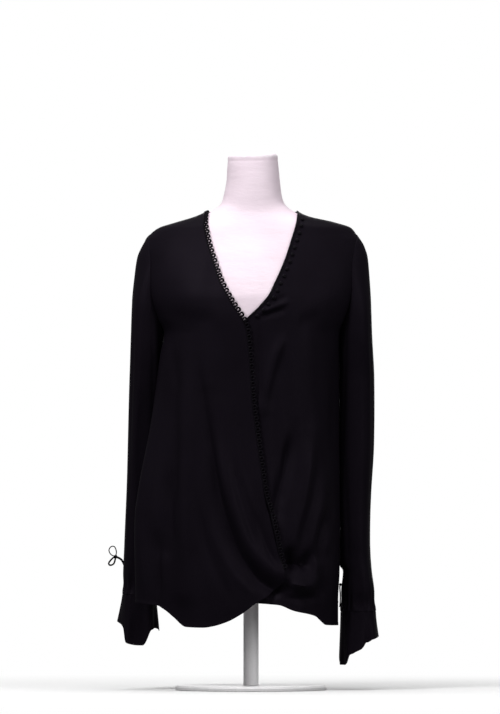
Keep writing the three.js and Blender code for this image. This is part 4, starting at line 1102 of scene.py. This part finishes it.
make_object("DressForm", *joined([dress_form()]), jersey, "form_jersey", ["dress_form"])
for stand_node in ("pole", "base"):
    stand_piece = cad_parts[stand_node]
    stand_piece.data.materials.clear()
    stand_piece.data.materials.append(paint)

# Floor, light and camera

FLOOR_NEAR, FLOOR_FAR = 0.25, 1.3  # the floor turns to plain white light between these radii
FLOOR_SIDES = 96
DOME_RADIUS = 28.0  # beyond the camera, so that every side has the same plain background


def staged(name, points, faces, material):
    """A stage piece that the lens sees and that throws no light of its own on the object."""
    mesh = bpy.data.meshes.new(name)
    mesh.from_pydata(points, [], faces)
    mesh.polygons.foreach_set("use_smooth", [True] * len(mesh.polygons))
    mesh.materials.append(material)
    piece = bpy.data.objects.new(name, mesh)
    bpy.context.scene.collection.objects.link(piece)
    piece.visible_diffuse = piece.visible_glossy = False
    return piece


def white_light(tree):
    light = tree.nodes.new("ShaderNodeEmission")
    put(light, Color=(1, 1, 1, 1), Strength=1.0)
    return light.outputs["Emission"]


def floor_material():
    material, tree, shader = node_material("studio_floor")
    put(shader, Base_Color=(0.93, 0.93, 0.93, 1), Roughness=0.9, Specular_IOR_Level=0.1)
    place = object_place(tree)
    length = tree.nodes.new("ShaderNodeVectorMath")
    length.operation = "LENGTH"
    tree.links.new(place, length.inputs[0])
    away = tree.nodes.new("ShaderNodeMapRange")
    away.interpolation_type = "SMOOTHSTEP"
    put(away, From_Min=FLOOR_NEAR, From_Max=FLOOR_FAR)
    tree.links.new(length.outputs["Value"], away.inputs["Value"])
    blend = tree.nodes.new("ShaderNodeMixShader")
    tree.links.new(away.outputs["Result"], blend.inputs["Fac"])
    tree.links.new(shader.outputs["BSDF"], blend.inputs[1])
    tree.links.new(white_light(tree), blend.inputs[2])
    tree.links.new(blend.outputs["Shader"], tree.nodes["Material Output"].inputs["Surface"])
    return material


def studio():
    turns = [TAU * k / FLOOR_SIDES for k in range(FLOOR_SIDES)]
    around = [(DOME_RADIUS * math.cos(turn), DOME_RADIUS * math.sin(turn), 0.0) for turn in turns]
    staged("StudioFloor", around, [tuple(range(FLOOR_SIDES))], floor_material())
    material, tree, _ = node_material("studio_dome")
    tree.links.new(white_light(tree), tree.nodes["Material Output"].inputs["Surface"])
    profile = [(0, -DOME_RADIUS)]
    for i in range(1, 24):
        turn = math.pi * (i / 24 - 0.5)
        profile.append((DOME_RADIUS * math.cos(turn), DOME_RADIUS * math.sin(turn)))
    points, faces = lathe([*profile, (0, DOME_RADIUS)], (0, 0, 0), (0, 0, 1), 48)
    dome = staged("StudioDome", [tuple(p) for p in points], faces, material)
    dome.visible_shadow = False


def area_light(name, place, target, size, power):
    data = bpy.data.lights.new(name, "AREA")
    data.shape = "RECTANGLE"
    data.size, data.size_y = size
    data.energy = power
    light = bpy.data.objects.new(name, data)
    light.location = place
    light.rotation_euler = (Vector(target) - Vector(place)).to_track_quat("-Z", "Y").to_euler()
    bpy.context.scene.collection.objects.link(light)


# Place, the point that the light faces, size in metres and power in watts

studio()
area_light("Key", (-1.15, -1.55, 2.05), (0, 0, 0.7), (0.8, 0.8), 37)
area_light("Fill", (1.9, -1.8, 1.1), (0, 0, 0.55), (1.2, 1.6), 19)
area_light("Top", (0.0, 0.0, 3.0), (0, 0, 0.5), (1.5, 1.5), 29)
area_light("Front", (0.35, -2.6, 2.1), (0, 0, 0.8), (1.2, 1.2), 7)
area_light("Behind", (0.2, 2.6, 0.9), (0, 0, 0.5), (1.4, 1.4), 11)

SKY_LOW, SKY_HIGH = 0.13, 0.35  # grey of the sky at the horizon and high up

world = bpy.data.worlds.new("World")
bpy.context.scene.world = world
world.use_nodes = True
sky = world.node_tree
height_of = sky.nodes.new("ShaderNodeSeparateXYZ")
sky.links.new(sky.nodes.new("ShaderNodeTexCoord").outputs["Generated"], height_of.inputs["Vector"])
shade = ramp(sky, height_of.outputs["Z"], (SKY_LOW,) * 3, (SKY_HIGH,) * 3, 0.0, 0.8)
sky.links.new(shade, sky.nodes["Background"].inputs["Color"])
sky.nodes["Background"].inputs["Strength"].default_value = 1.0
bpy.context.scene.view_settings.view_transform = "Standard"

# Camera level with the middle of the frame, at the photo's scale

PIXEL = 1.72 * MM  # size of a pixel of the 500 by 714 frame, at the middle of the body
FRAME_HEIGHT = 714 * PIXEL
CAMERA_AWAY = 24.0
CAMERA_X, CAMERA_Z = -1.7 * MM, 572.8 * MM
SENSOR = 24.0

camera_data = bpy.data.cameras.new("Camera")
camera_data.sensor_fit = "VERTICAL"
camera_data.sensor_height = SENSOR
camera_data.lens = SENSOR * CAMERA_AWAY / FRAME_HEIGHT
camera = bpy.data.objects.new("Camera", camera_data)
camera.location = (CAMERA_X, -CAMERA_AWAY, CAMERA_Z)
camera.rotation_euler = (math.pi / 2, 0, 0)
bpy.context.scene.collection.objects.link(camera)
bpy.context.scene.camera = camera
